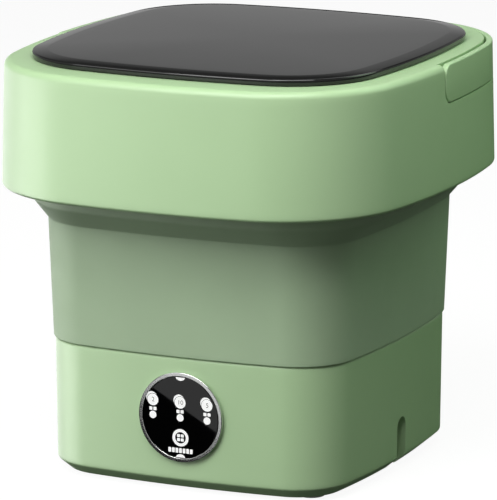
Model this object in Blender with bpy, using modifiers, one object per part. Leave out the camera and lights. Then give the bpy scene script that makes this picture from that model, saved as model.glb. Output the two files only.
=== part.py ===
"""Portable folding mini washer: a base with its drive, a folding wall, a rim with a carry handle and a lid.

Metres, +Z up. The origin is on the floor under the middle of the washer, and the control panel faces -Y.
"""
import math

import bmesh
import bpy

# ---------------------------------------------------------------- driving dimensions
GAP = 0.0003                # air left between pieces that touch
SIDE_STEPS = 4              # facets along one bulged side
CORNER_STEPS = 6            # facets round one corner
TURN_STEPS = 20             # facets round a turned piece
SMALL_STEPS = 8             # facets round a screw or a screw hole

# Plan outlines: half width, half depth, radius of the bulged sides, corner radius.
RIM_PLAN = (0.1400, 0.1505, 0.545, 0.0820)
LID_PLAN = (0.1210, 0.1264, 0.574, 0.0606)
WALL_PLAN = (0.1070, 0.1106, 0.652, 0.0388)

# Base
BASE_BOTTOM = 0.0020
BASE_EDGE = 0.0095          # top of the curved lower edge
BASE_TOP = 0.0880
BASE_SKIN = 0.0026
FLANGE = 0.0022             # thickness of the base's top flange
PLATE_BOTTOM, PLATE_TOP = 0.0022, 0.0047
PLATE_INSET = 0.0128
FOOT_PLACE = (0.078, 0.078)
FOOT_RADIUS = 0.0090

# Wash basin and the foot of the folding wall
BASIN_FLOOR = 0.0637
BASIN_SKIN = 0.0022
BASIN_FLANGE_TOP = BASE_TOP + GAP + 0.0020
WALL_SKIN = 0.0024
WALL_BOTTOM = BASIN_FLANGE_TOP + GAP
WALL_FOOT_INSET = 0.0085    # how far the wall's foot reaches inward
FLARE_BOTTOM, FLARE_HEIGHT = 0.1650, 0.0120
LONG_BOSS_PLACE = (0.068, 0.070)
SHORT_BOSS_PLACE = (0.014, 0.054)
BOSS_RADIUS = 0.0045
SCREW_HOLE = 0.0017

# Drive, on the washer's axis
HUB_RADIUS, HUB_BORE = 0.0130, 0.0090
HUB_BOTTOM, HUB_TOP = 0.0586, 0.0680
SHAFT_RADIUS, SHAFT_BORE = 0.0040, 0.0043
BRACKET_BOTTOM, BRACKET_TOP = 0.0563, 0.0583
GEARBOX_RADIUS = 0.0240
GEARBOX_BOTTOM, GEARBOX_TOP = 0.0300, 0.0560
MOTOR_RADIUS, MOTOR_BOTTOM = 0.0175, 0.0080
GEARBOX_SCREW_CIRCLE = 0.0180
PULSATOR_RADIUS = 0.0600

# Control panel, on the front, a little to the right of the middle
PANEL_X, PANEL_Z = 0.0027, 0.0495
BEZEL_RADIUS, GLASS_RADIUS = 0.0290, 0.0263
PANEL_HOLE = 0.0283
PANEL_FRONT = 0.1113        # distance of the bezel's face from the washer's axis
BOARD_SIZE = (0.070, 0.0016, 0.036)
BOARD_PLACE = (0.0, -0.0872, 0.0300)

# Drain and power inlet
DRAIN_X, DRAIN_Y = 0.0705, 0.0025
SLOT_WIDTH, SLOT_TOP, SLOT_BACK = 0.0140, 0.0350, 0.0907
SLOT_SKIN = 0.0022
SPIGOT_Z, SPIGOT_END = 0.0220, 0.0990
PIPE_RADIUS, PIPE_SKIN = 0.0050, 0.0013
INLET_X, INLET_Z, INLET_FACE = -0.030, 0.030, 0.1096

# Rim
RIM_BOTTOM, RIM_TOP = 0.1870, 0.2677
RIM_SKIN = 0.0026
RIM_DRAFT = 0.0021          # how much the rim narrows on each side up to its top edge
RIM_EDGE = 0.0040           # radius of its top edge
MOUTH_INSET = 0.0065        # the mouth's edge, inside the lid's outline
LIP_BOTTOM = 0.2595
WALL_TOP = 0.2648
CLAMP_REACH = 0.0064        # how far the wall's top flange reaches outward

# Handle, in a pocket round the rear half of the rim
HANDLE_BOTTOM, HANDLE_TOP = 0.2430, 0.2672
HANDLE_FRONT = -0.0070
HANDLE_SKIN = 0.0046
HANDLE_CORNER = 0.0080
POCKET_GAP = 0.0010
PIVOT_Y, PIVOT_Z = 0.0010, 0.2586
PIN_RADIUS, PIN_HOLE = 0.0027, 0.0030

# Lid
LID_BOTTOM, LID_TOP = 0.2683, 0.2732
LID_BAND = 0.0100           # width of the sloped band round the lid
LID_CROWN = 0.0012          # rise of the middle above the band
LID_SKIN = 0.0020
LID_SKIRT_BOTTOM = 0.2585

# ---------------------------------------------------------------- scene and materials
for old in list(bpy.data.objects):
    bpy.data.objects.remove(old, do_unlink=True)

PARTS = bpy.data.collections.new("portable_mini_washer")
CUTTERS = bpy.data.collections.new("cutters")
bpy.context.scene.collection.children.link(PARTS)
bpy.context.scene.collection.children.link(CUTTERS)
CUTTERS.hide_render = True


def material(name, rgb, roughness, metallic=0.0):
    """A Principled material."""
    made = bpy.data.materials.new(name)
    made.use_nodes = True
    shader = made.node_tree.nodes["Principled BSDF"]
    shader.inputs["Base Color"].default_value = (*rgb, 1.0)
    shader.inputs["Roughness"].default_value = roughness
    shader.inputs["Metallic"].default_value = metallic
    return made


GREEN = material("green_plastic", (0.36, 0.52, 0.27), 0.40)
SOFT_GREEN = material("soft_green_tpe", (0.25, 0.33, 0.22), 0.65)
SMOKE = material("smoked_plastic", (0.05, 0.05, 0.05), 0.15)
WHITE = material("white_plastic", (0.75, 0.76, 0.74), 0.40)
BLACK = material("black_plastic", (0.02, 0.02, 0.02), 0.45)
RUBBER = material("grey_rubber", (0.45, 0.45, 0.44), 0.80)
GLASS = material("panel_black", (0.005, 0.005, 0.005), 0.05)
STEEL = material("steel", (0.55, 0.55, 0.55), 0.30, 1.0)
SILVER = material("silver_trim", (0.60, 0.62, 0.60), 0.25, 1.0)
BOARD = material("circuit_board", (0.02, 0.12, 0.05), 0.50)


# ---------------------------------------------------------------- shape helpers
def new_object(name, mesh, look=None, cutter=False):
    """Wrap a mesh in an object, shade it and put it in its collection."""
    made = bpy.data.objects.new(name, mesh)
    if cutter:
        made.display_type = "WIRE"
        made.hide_render = True
        CUTTERS.objects.link(made)
    else:
        mesh.materials.append(look)
        mesh.shade_smooth()
        mesh.set_sharp_from_angle(angle=math.radians(35))
        PARTS.objects.link(made)
    return made


def from_bmesh(name, bm, look=None, cutter=False):
    """Turn a bmesh into an object whose faces point out."""
    bmesh.ops.recalc_face_normals(bm, faces=bm.faces)
    mesh = bpy.data.meshes.new(name)
    bm.to_mesh(mesh)
    bm.free()
    return new_object(name, mesh, look, cutter)


def inset(plan, distance):
    """The outline parallel to a plan outline, a distance inside it."""
    return tuple(value - distance for value in plan)


def mix(plan_a, plan_b, share):
    """An outline part of the way from one plan outline to another."""
    return tuple(a + (b - a) * share for a, b in zip(plan_a, plan_b))


def outline(plan):
    """Points of a rounded rectangle whose four sides are bulged arcs."""
    half_x, half_y, side_r, corner_r = plan
    side = (half_x - side_r, 0.0)
    end = (0.0, half_y - side_r)
    span = math.dist(side, end)
    reach = math.sqrt((side_r - corner_r) ** 2 - (span / 2) ** 2)
    lean = math.atan2(end[1] - side[1], end[0] - side[0]) + math.pi / 2
    corner = ((side[0] + end[0]) / 2 + reach * math.cos(lean), (side[1] + end[1]) / 2 + reach * math.sin(lean))
    start = math.atan2(corner[1] - side[1], corner[0] - side[0])
    stop = math.atan2(corner[1] - end[1], corner[0] - end[0])
    quarter = []
    for step in range(SIDE_STEPS // 2 + 1):
        angle = start * step / (SIDE_STEPS // 2)
        quarter.append((side[0] + side_r * math.cos(angle), side_r * math.sin(angle)))
    for step in range(1, CORNER_STEPS):
        angle = start + (stop - start) * step / CORNER_STEPS
        quarter.append((corner[0] + corner_r * math.cos(angle), corner[1] + corner_r * math.sin(angle)))
    for step in range(SIDE_STEPS // 2 + 1):
        angle = stop + (math.pi / 2 - stop) * step / (SIDE_STEPS // 2)
        quarter.append((side_r * math.cos(angle), end[1] + side_r * math.sin(angle)))
    left = [(-x, y) for x, y in reversed(quarter[:-1])]
    upper = quarter + left
    lower = [(x, -y) for x, y in reversed(upper[1:-1])]
    return upper + lower


def loft(name, levels, look=None, capped=False, cutter=False):
    """Skin a row of (plan, z) levels: a closed tube of section, or a body capped at both ends."""
    bm = bmesh.new()
    rings = [[bm.verts.new((x, y, z)) for x, y in outline(plan)] for plan, z in levels]
    pairs = list(zip(rings, rings[1:]))
    if not capped:
        pairs.append((rings[-1], rings[0]))
    for low, high in pairs:
        count = len(low)
        for i in range(count):
            bm.faces.new((low[i], low[(i + 1) % count], high[(i + 1) % count], high[i]))
    if capped:
        bm.faces.new(reversed(rings[0]))
        bm.faces.new(rings[-1])
    return from_bmesh(name, bm, look, cutter)


def inner_skin(levels, thickness):
    """The levels of the inner surface of a wall whose outer surface is given from its bottom up."""
    inner = []
    for i, (plan, z) in enumerate(levels):
        before, after = levels[max(i - 1, 0)], levels[min(i + 1, len(levels) - 1)]
        run, rise = after[0][0] - before[0][0], after[1] - before[1]
        length = math.hypot(run, rise)
        inner.append((inset(plan, thickness * rise / length), z + thickness * run / length))
    return inner


def turned(name, profile, place, look=None, steps=TURN_STEPS, cutter=False, turn=(0.0, 0.0, 0.0)):
    """Revolve (radius, height) points, listed down the outer side. A ring's profile closes on itself."""
    mesh = bpy.data.meshes.new(name)
    count = len(profile)
    edges = [(i, i + 1) for i in range(count - 1)]
    if profile[0][0] > 0:
        edges.append((count - 1, 0))
    mesh.from_pydata([(radius, 0.0, height) for radius, height in profile], edges, [])
    made = new_object(name, mesh, look, cutter)
    made.location = place
    made.rotation_euler = turn
    screw = made.modifiers.new("turn", "SCREW")
    screw.steps = steps
    screw.render_steps = steps
    screw.use_merge_vertices = True
    screw.merge_threshold = 0.00001
    screw.use_smooth_shade = True
    return made


def cylinder(name, radius, bottom, top, x=0.0, y=0.0, steps=SMALL_STEPS):
    """An upright cylinder for cutting or joining."""
    bm = bmesh.new()
    bmesh.ops.create_cone(bm, cap_ends=True, segments=steps, radius1=radius, radius2=radius, depth=top - bottom)
    made = from_bmesh(name, bm, cutter=True)
    made.location = (x, y, (bottom + top) / 2)
    made.rotation_euler = (0.0, 0.0, math.pi / steps + 0.01)
    return made


def side_cylinder(name, radius, start, end, other, z, along="X", steps=TURN_STEPS):
    """A level cylinder along X or Y for cutting."""
    made = cylinder(name, radius, min(start, end), max(start, end), steps=steps)
    middle = (start + end) / 2
    if along == "X":
        made.rotation_euler = (0.0, math.pi / 2, 0.0)
        made.location = (middle, other, z)
    else:
        made.rotation_euler = (math.pi / 2, 0.0, 0.0)
        made.location = (other, middle, z)
    return made


def box(name, size, place, look=None, cutter=True):
    """A box by its size and centre."""
    bm = bmesh.new()
    bmesh.ops.create_cube(bm, size=1.0)
    bmesh.ops.scale(bm, vec=size, verts=bm.verts)
    made = from_bmesh(name, bm, look, cutter)
    made.location = place
    return made


def side_prism(name, points, start, end):
    """A prism along X from its (y, z) outline."""
    bm = bmesh.new()
    face = bm.faces.new([bm.verts.new((start, y, z)) for y, z in points])
    grown = bmesh.ops.extrude_face_region(bm, geom=[face])
    moved = [item for item in grown["geom"] if isinstance(item, bmesh.types.BMVert)]
    bmesh.ops.translate(bm, vec=(end - start, 0.0, 0.0), verts=moved)
    return from_bmesh(name, bm, cutter=True)


def corner_arc(y, z, radius, first, last, steps=6):
    """Points of an arc in the YZ plane, angles in degrees from +Y towards +Z."""
    angles = [math.radians(first + (last - first) * i / steps) for i in range(steps + 1)]
    return [(y + radius * math.cos(angle), z + radius * math.sin(angle)) for angle in angles]


def combine(target, others, operation="DIFFERENCE"):
    """Cut the others from the target, join them to it, or keep what they share."""
    group = bpy.data.collections.new(f"{target.name}_{operation.lower()}")
    CUTTERS.children.link(group)
    for other in others:
        group.objects.link(other)
        CUTTERS.objects.unlink(other)
    boolean = target.modifiers.new(operation.lower(), "BOOLEAN")
    boolean.operation = operation
    boolean.operand_type = "COLLECTION"
    boolean.collection = group


def around(place):
    """The four mirror images of one place, in X and Y."""
    x, y = place
    return [(sx * x, sy * y) for sx in (1, -1) for sy in (1, -1)]


def four_sides(half_x, half_y):
    """The middles of the four sides."""
    return [(half_x, 0.0), (-half_x, 0.0), (0.0, half_y), (0.0, -half_y)]


def screw(name, x, y, seat, length, head, shank, direction):
    """A pan-head screw. Its head sits on the seat and its shank points up (1) or down (-1)."""
    height = head * 0.62
    profile = [(0.0, height), (head * 0.6, height), (head, height * 0.4), (head, 0.0), (shank, 0.0),
               (shank, -length + shank), (0.0, -length)]
    tilt = math.pi if direction > 0 else 0.0
    return turned(name, profile, (x, y, seat), STEEL, SMALL_STEPS, turn=(tilt, 0.0, 0.0))


def wall(distance):
    """The wall's plan outline, set in."""
    return inset(WALL_PLAN, distance)


def lid(distance):
    """The lid's plan outline, set in."""
    return inset(LID_PLAN, distance)


def rim(distance):
    """The rim's plan outline, set in."""
    return inset(RIM_PLAN, distance)


# ---------------------------------------------------------------- base
def screw_holes(name, places, bottom, top, radius=SCREW_HOLE):
    """One cutter for each screw."""
    return [cylinder(f"{name}_{i}", radius, bottom, top, x, y) for i, (x, y) in enumerate(places)]


CLAMP_SCREWS = four_sides(WALL_PLAN[0] - 0.0058, WALL_PLAN[1] - 0.0058)


def make_base_housing():
    """The base's outer shell, with its top flange, the drain slot and the holes for panel and inlet."""
    inner = BASE_SKIN
    levels = [(wall(0.0098), BASE_BOTTOM), (wall(0.0060), 0.0032), (wall(0.0033), 0.0058),
              (wall(0.0019), BASE_EDGE), (wall(0.0011), BASE_TOP - 0.0020), (wall(0.0016), BASE_TOP - 0.0007),
              (wall(0.0029), BASE_TOP), (wall(0.0095), BASE_TOP), (wall(0.0095), BASE_TOP - FLANGE),
              (wall(0.0011 + inner), BASE_TOP - FLANGE), (wall(0.0019 + inner), BASE_EDGE + 0.0005),
              (wall(0.0036 + inner), 0.0064), (wall(0.0058 + inner), 0.0046), (wall(0.0122), 0.0042),
              (wall(0.0122), BASE_BOTTOM)]
    housing = loft("base_housing", levels, GREEN)

    half = SLOT_WIDTH / 2
    arch = corner_arc(DRAIN_Y, SLOT_TOP - half, half + SLOT_SKIN, 0, 180, 8)
    channel = [(DRAIN_Y - half - SLOT_SKIN, BASE_BOTTOM), (DRAIN_Y + half + SLOT_SKIN, BASE_BOTTOM)] + arch
    joined = side_prism("slot_channel", channel, SLOT_BACK - SLOT_SKIN, WALL_PLAN[0])
    middle = [(wall(0.0112), 0.0028), (wall(0.0072), 0.0043), (wall(0.0046), 0.0065),
              (wall(0.0032), BASE_EDGE + 0.0005), (wall(0.0026), SLOT_TOP + 0.02)]
    combine(joined, [loft("channel_limit", middle, capped=True, cutter=True)], "INTERSECT")
    combine(housing, [joined], "UNION")
    arch = corner_arc(DRAIN_Y, SLOT_TOP - half, half, 0, 180, 8)
    hollow = [(DRAIN_Y - half, BASE_BOTTOM - 0.01), (DRAIN_Y + half, BASE_BOTTOM - 0.01)] + arch
    cutters = [side_prism("slot_hollow", hollow, SLOT_BACK, WALL_PLAN[0] + 0.01)]
    cutters.append(side_cylinder("spigot_hole", PIPE_RADIUS + GAP, 0.080, 0.095, DRAIN_Y, SPIGOT_Z))
    cutters.append(side_cylinder("panel_hole", PANEL_HOLE, -0.120, -0.100, PANEL_X, PANEL_Z, "Y", 24))
    cutters.append(side_cylinder("inlet_hole", 0.0051, 0.100, 0.115, INLET_X, INLET_Z, "Y"))
    cutters += screw_holes("housing_clamp_hole", CLAMP_SCREWS, BASE_TOP - 0.01, BASE_TOP + 0.01, 0.0015)
    combine(housing, cutters)


def make_bottom_plate():
    """The plate that closes the base, with guides for the control board."""
    plan = wall(PLATE_INSET)
    plate = loft("bottom_plate", [(plan, PLATE_BOTTOM), (plan, PLATE_TOP)], BLACK, capped=True)
    guides = []
    for side in (-1, 1):
        for step in (-1, 1):
            place = (side * 0.028, BOARD_PLACE[1] + step * 0.0028, 0.0110)
            guides.append(box(f"board_guide_{side}_{step}", (0.006, 0.003, 0.0140), place))
    combine(plate, guides, "UNION")
    cutters = screw_holes("foot_hole", around(FOOT_PLACE), 0.0, 0.01, 0.0033)
    cutters += screw_holes("plate_screw_hole", around(LONG_BOSS_PLACE), 0.0, 0.01)
    notch = SLOT_WIDTH + 2 * SLOT_SKIN + 0.0010
    cutters.append(box("plate_notch", (0.0200, notch, 0.02), (SLOT_BACK - SLOT_SKIN + 0.0094, DRAIN_Y, 0.0)))
    combine(plate, cutters)


def make_feet():
    """Four rubber feet, each pushed through the plate with a button end."""
    profile = [(0.0, 0.0065), (0.0030, 0.0065), (0.0042, 0.0056), (0.0042, PLATE_TOP + GAP),
               (0.0030, PLATE_TOP + GAP), (0.0030, PLATE_BOTTOM - GAP), (FOOT_RADIUS, PLATE_BOTTOM - GAP),
               (FOOT_RADIUS, 0.0007), (FOOT_RADIUS - 0.0007, 0.0), (0.0, 0.0)]
    for i, (x, y) in enumerate(around(FOOT_PLACE), 1):
        turned(f"foot_{i}", profile, (x, y, 0.0), RUBBER, 10)


def make_wash_basin():
    """The tub's rigid bottom: a bowl with a flange, a shaft hub and screw bosses under its floor."""
    under = BASIN_FLOOR - BASIN_SKIN
    levels = [(wall(0.0270), under), (wall(0.0170), 0.0660), (wall(0.0125), 0.0740),
              (wall(0.0108), BASE_TOP + GAP), (wall(0.0014), BASE_TOP + GAP), (wall(0.0014), BASIN_FLANGE_TOP),
              (wall(0.0130), BASIN_FLANGE_TOP), (wall(0.0147), 0.0745), (wall(0.0190), 0.0680),
              (wall(0.0285), BASIN_FLOOR)]
    basin = loft("wash_basin", levels, WHITE, capped=True)
    joined = [cylinder("basin_hub", HUB_RADIUS, HUB_BOTTOM, HUB_TOP, steps=TURN_STEPS)]
    for i, (x, y) in enumerate(around(LONG_BOSS_PLACE)):
        joined.append(cylinder(f"long_boss_{i}", BOSS_RADIUS, PLATE_TOP + GAP, under + 0.0010, x, y))
    for i, (x, y) in enumerate(around(SHORT_BOSS_PLACE)):
        joined.append(cylinder(f"short_boss_{i}", BOSS_RADIUS, BRACKET_TOP + GAP, under + 0.0010, x, y))
    combine(basin, joined, "UNION")
    cutters = [cylinder("basin_bore", HUB_BORE, HUB_BOTTOM - 0.01, HUB_TOP + 0.01, steps=TURN_STEPS)]
    cutters.append(cylinder("drain_hole", 0.0040, 0.050, 0.070, DRAIN_X, DRAIN_Y))
    cutters += screw_holes("long_boss_hole", around(LONG_BOSS_PLACE), 0.0, 0.0180)
    cutters += screw_holes("short_boss_hole", around(SHORT_BOSS_PLACE), 0.050, under)
    cutters += screw_holes("basin_clamp_hole", CLAMP_SCREWS, BASE_TOP, BASE_TOP + 0.01, 0.0015)
    combine(basin, cutters)


def make_lower_clamp_ring():
    """The ring that clamps the wall's foot to the basin."""
    bottom = WALL_BOTTOM + WALL_SKIN + GAP
    top = bottom + 0.0022
    levels = [(wall(0.0028), bottom), (wall(0.0028), top), (wall(0.0104), top), (wall(0.0112), top - 0.0008),
              (wall(0.0112), bottom)]
    ring = loft("lower_clamp_ring", levels, WHITE)
    combine(ring, screw_holes("ring_clamp_hole", CLAMP_SCREWS, bottom - 0.01, top + 0.01, 0.0015))
    for i, (x, y) in enumerate(CLAMP_SCREWS, 1):
        screw(f"clamp_screw_{i}", x, y, top + GAP, 0.0085, 0.0022, 0.0012, -1)


def folding_wall_levels():
    """The outer surface of the folding wall, from its foot to the rim."""
    foot = [(wall(0.0006), WALL_BOTTOM), (wall(0.0), WALL_BOTTOM + 0.0007)]
    straight = [(wall(-0.0008), 0.110), (wall(-0.0022), 0.145), (wall(-0.0030), FLARE_BOTTOM - 0.0012)]
    flare = []
    for step in range(1, 4):
        share = step / 3
        eased = share * share * (3 - 2 * share)
        flare.append((mix(wall(-0.0030), lid(-0.0001), eased), FLARE_BOTTOM + FLARE_HEIGHT * share))
    return foot + straight + flare + [(lid(-0.0003), 0.190)]


def make_folding_wall():
    """The soft wall: a foot turned in over the basin, the straight part, the flare and a top flange."""
    outer = folding_wall_levels()
    skin = outer[1:]
    top = WALL_TOP - WALL_SKIN
    flange = [(lid(-0.0003), top), (lid(-CLAMP_REACH), top), (lid(-CLAMP_REACH), WALL_TOP),
              (lid(-0.0003 + WALL_SKIN), WALL_TOP)]
    inner = inner_skin(skin, WALL_SKIN)[1:]
    foot_top = WALL_BOTTOM + WALL_SKIN
    foot = [(wall(WALL_SKIN), foot_top), (wall(WALL_FOOT_INSET), foot_top), (wall(WALL_FOOT_INSET), WALL_BOTTOM)]
    body = loft("folding_wall", outer + flange + inner[::-1] + foot, SOFT_GREEN)
    cutters = screw_holes("wall_clamp_hole", CLAMP_SCREWS, WALL_BOTTOM - 0.01, foot_top + 0.003, 0.0015)
    cutters += screw_holes("wall_rim_hole", RIM_SCREWS, top - 0.003, WALL_TOP + 0.01, 0.0015)
    combine(body, cutters)


# ---------------------------------------------------------------- drive
def make_motor():
    """The motor can under the gearbox."""
    top = GEARBOX_BOTTOM - GAP
    profile = [(0.0, top), (MOTOR_RADIUS - 0.001, top), (MOTOR_RADIUS, top - 0.001),
               (MOTOR_RADIUS, MOTOR_BOTTOM + 0.002), (MOTOR_RADIUS - 0.002, MOTOR_BOTTOM),
               (0.005, MOTOR_BOTTOM), (0.005, MOTOR_BOTTOM - 0.0015), (0.0, MOTOR_BOTTOM - 0.0015)]
    turned("motor", profile, (0.0, 0.0, 0.0), STEEL)


def make_gearbox():
    """The gearbox, with the socket that takes the drive shaft."""
    edge = GEARBOX_RADIUS
    low, high = GEARBOX_BOTTOM, GEARBOX_TOP - 0.0006
    socket = GEARBOX_TOP - 0.0140
    profile = [(SHAFT_BORE, GEARBOX_TOP), (0.0100, GEARBOX_TOP), (0.0100, high), (edge - 0.001, high),
               (edge, high - 0.001), (edge, low + 0.001), (edge - 0.001, low), (0.0, low)]
    profile = [(0.0, socket), (SHAFT_BORE, socket)] + profile
    gearbox = turned("gearbox", profile, (0.0, 0.0, 0.0), BLACK)
    places = gearbox_screw_places()
    combine(gearbox, screw_holes("gearbox_hole", places, 0.0495, 0.0600, 0.0016))
    for i, (x, y) in enumerate(places, 1):
        screw(f"gearbox_screw_{i}", x, y, BRACKET_TOP + GAP, 0.0080, 0.0024, 0.0013, -1)


def gearbox_screw_places():
    """Four screws on a circle, between the bracket's arms and its sides."""
    reach = GEARBOX_SCREW_CIRCLE / math.sqrt(2)
    return around((reach, reach))


def make_motor_bracket():
    """The steel bar that hangs the drive from the basin, with its four screws."""
    bar = box("motor_bracket", (0.042, 0.122, BRACKET_TOP - BRACKET_BOTTOM),
              (0.0, 0.0, (BRACKET_TOP + BRACKET_BOTTOM) / 2), STEEL, cutter=False)
    cutters = [cylinder("bracket_bore", 0.0120, 0.050, 0.065, steps=TURN_STEPS)]
    cutters += screw_holes("bracket_hole", around(SHORT_BOSS_PLACE), 0.050, 0.065)
    cutters += screw_holes("bracket_gearbox_hole", gearbox_screw_places(), 0.050, 0.065, 0.0016)
    combine(bar, cutters)
    for i, (x, y) in enumerate(around(SHORT_BOSS_PLACE), 1):
        screw(f"bracket_screw_{i}", x, y, BRACKET_BOTTOM - GAP, 0.0048, 0.0030, 0.0014, 1)


def make_shaft_parts():
    """The bearing and the seal in the basin's hub, and the drive shaft through them."""
    outer = HUB_BORE - GAP
    bearing = [(SHAFT_BORE, 0.0640), (outer, 0.0640), (outer, 0.0590), (SHAFT_BORE, 0.0590)]
    turned("shaft_bearing", bearing, (0.0, 0.0, 0.0), STEEL)
    seal = [(SHAFT_BORE, 0.0677), (0.0060, 0.0677), (0.0066, 0.0665), (outer, 0.0665), (outer, 0.0643),
            (SHAFT_BORE, 0.0643)]
    turned("shaft_seal", seal, (0.0, 0.0, 0.0), RUBBER)
    top, bottom = 0.0760, 0.0430
    shaft = [(0.0, 0.0660), (SCREW_HOLE, 0.0660), (SCREW_HOLE, top), (SHAFT_RADIUS - 0.0005, top),
             (SHAFT_RADIUS, top - 0.0005), (SHAFT_RADIUS, bottom), (0.0, bottom)]
    turned("drive_shaft", shaft, (0.0, 0.0, 0.0), STEEL)


def make_pulsator():
    """The ribbed disc that stirs the wash, its screw and its cap."""
    rim_r = PULSATOR_RADIUS
    profile = [(0.0040, 0.0812), (0.0085, 0.0812), (0.0140, 0.0800), (0.0220, 0.0760), (0.0340, 0.0725),
               (0.0480, 0.0710), (rim_r - 0.0015, 0.0708), (rim_r, 0.0696), (rim_r, 0.0674),
               (rim_r - 0.0015, 0.0670), (rim_r - 0.0030, 0.0682), (0.0340, 0.0692), (0.0200, 0.0720),
               (0.0160, 0.0720), (0.0150, 0.0695), (SHAFT_BORE, 0.0695), (SHAFT_BORE, 0.0764),
               (SCREW_HOLE, 0.0764), (SCREW_HOLE, 0.0790), (0.0040, 0.0790)]
    disc = turned("pulsator", profile, (0.0, 0.0, 0.0), WHITE)
    vanes = []
    for i in range(4):
        bm = bmesh.new()
        bmesh.ops.create_uvsphere(bm, u_segments=12, v_segments=8, radius=1.0)
        for vert in bm.verts:
            vert.co.z = max(vert.co.z, -0.01)
        bmesh.ops.scale(bm, vec=(0.0225, 0.0055, 0.0125), verts=bm.verts)
        bmesh.ops.translate(bm, vec=(0.0335, 0.0, 0.0702), verts=bm.verts)
        vane = from_bmesh(f"vane_{i}", bm, cutter=True)
        vane.rotation_euler = (0.0, 0.0, math.radians(45 + 90 * i))
        vanes.append(vane)
    combine(disc, vanes, "UNION")
    holes = []
    for i in range(8):
        angle = math.radians(22.5 + 45 * i)
        holes.append(cylinder(f"water_hole_{i}", 0.0025, 0.06, 0.08, 0.050 * math.cos(angle), 0.050 * math.sin(angle)))
    combine(disc, holes)
    screw("pulsator_screw", 0.0, 0.0, 0.0793, 0.0120, 0.0036, 0.0014, -1)
    cap = [(0.0, 0.0842), (0.0040, 0.0839), (0.0070, 0.0830), (0.0085, 0.0817), (0.0, 0.0817)]
    turned("pulsator_cap", cap, (0.0, 0.0, 0.0), WHITE)


# ---------------------------------------------------------------- panel, boards, inlet and drain
def make_panel():
    """The round control panel: a bezel in the front of the base, its glass and the touch board behind."""
    facing = (math.pi / 2, 0.0, 0.0)
    centre = (PANEL_X, 0.0, PANEL_Z)
    front = PANEL_FRONT
    sleeve, ledge = PANEL_HOLE - GAP, 0.0240
    bezel = [(GLASS_RADIUS + GAP, front), (BEZEL_RADIUS - 0.0005, front), (BEZEL_RADIUS, front - 0.0005),
             (BEZEL_RADIUS, front - 0.0015), (sleeve, front - 0.0015), (sleeve, 0.1045), (ledge, 0.1045),
             (ledge, 0.1072), (GLASS_RADIUS + GAP, 0.1072)]
    turned("panel_bezel", bezel, centre, SILVER, 24, turn=facing)
    glass = [(0.0, front - 0.0004), (GLASS_RADIUS - 0.0004, front - 0.0004), (GLASS_RADIUS, front - 0.0008),
             (GLASS_RADIUS, 0.1075), (0.0, 0.1075)]
    turned("panel_glass", glass, centre, GLASS, 24, turn=facing)
    board = [(0.0, 0.1072), (ledge - GAP, 0.1072), (ledge - GAP, 0.1056), (0.0, 0.1056)]
    turned("touch_board", board, centre, BOARD, turn=facing)


def make_control_board():
    """The upright main board behind the panel, with its largest components."""
    board = box("control_board", BOARD_SIZE, BOARD_PLACE, BOARD, cutter=False)
    face = BOARD_PLACE[1] + BOARD_SIZE[1] / 2
    parts = [box("relay", (0.016, 0.0120, 0.012), (-0.018, face + 0.0058, 0.030)),
             box("connector", (0.020, 0.0090, 0.008), (0.016, face + 0.0043, 0.036)),
             box("power_chip", (0.010, 0.0040, 0.010), (0.006, face + 0.0018, 0.024))]
    combine(board, parts, "UNION")


def make_dc_socket():
    """The power inlet low on the back: a flanged barrel with a bore and a centre pin."""
    face = INLET_FACE
    pin = [(0.0, face - 0.0020), (0.0010, face - 0.0020), (0.0010, face - 0.0100), (0.0031, face - 0.0100)]
    shell = [(0.0031, face), (0.0062, face), (0.0065, face - 0.0003), (0.0065, face - 0.0012),
             (0.0048, face - 0.0012), (0.0048, face - 0.0160), (0.0, face - 0.0160)]
    turned("dc_socket", pin + shell, (INLET_X, 0.0, INLET_Z), BLACK, 16, turn=(-math.pi / 2, 0.0, 0.0))


def make_drain():
    """The drain pipe from the basin's floor to the spigot in the side slot, and the strainer over it."""
    bend = 0.0120
    path = [(DRAIN_X, BASIN_FLOOR - BASIN_SKIN - GAP)]
    steps = 6
    for i in range(steps + 1):
        angle = math.pi + math.pi / 2 * i / steps
        path.append((DRAIN_X + bend + bend * math.cos(angle), SPIGOT_Z + bend + bend * math.sin(angle)))
    path.append((SPIGOT_END, SPIGOT_Z))
    curve = bpy.data.curves.new("drain_path", "CURVE")
    curve.dimensions = "3D"
    curve.bevel_depth = PIPE_RADIUS
    curve.bevel_resolution = 3
    spline = curve.splines.new("POLY")
    spline.points.add(len(path) - 1)
    for point, (x, z) in zip(spline.points, path):
        point.co = (x, DRAIN_Y, z, 1.0)
    route = bpy.data.objects.new("drain_route", curve)
    CUTTERS.objects.link(route)
    mesh = bpy.data.meshes.new_from_object(route.evaluated_get(bpy.context.evaluated_depsgraph_get()))
    bpy.data.objects.remove(route)
    bm = bmesh.new()
    bm.from_mesh(mesh)
    pipe = from_bmesh("drain_pipe", bm, WHITE)
    skin = pipe.modifiers.new("skin", "SOLIDIFY")
    skin.thickness = PIPE_SKIN
    skin.offset = -1.0
    low = BASIN_FLOOR + GAP
    strainer = turned("drain_strainer", [(0.0, low + 0.0014), (0.0050, low + 0.0014), (0.0065, low + 0.0006),
                                         (0.0065, low), (0.0, low)], (DRAIN_X, DRAIN_Y, 0.0), WHITE, 16)
    holes = []
    for i in range(4):
        angle = math.pi / 2 * i
        x, y = DRAIN_X + 0.0026 * math.cos(angle), DRAIN_Y + 0.0026 * math.sin(angle)
        holes.append(cylinder(f"strainer_hole_{i}", 0.0009, low - 0.001, low + 0.003, x, y, 8))
    combine(strainer, holes)


def make_plate_screws():
    """The screws from the bottom plate up into the basin's long bosses."""
    for i, (x, y) in enumerate(around(LONG_BOSS_PLACE), 1):
        screw(f"plate_screw_{i}", x, y, PLATE_BOTTOM - GAP, 0.0150, 0.0025, 0.0014, 1)


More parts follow.
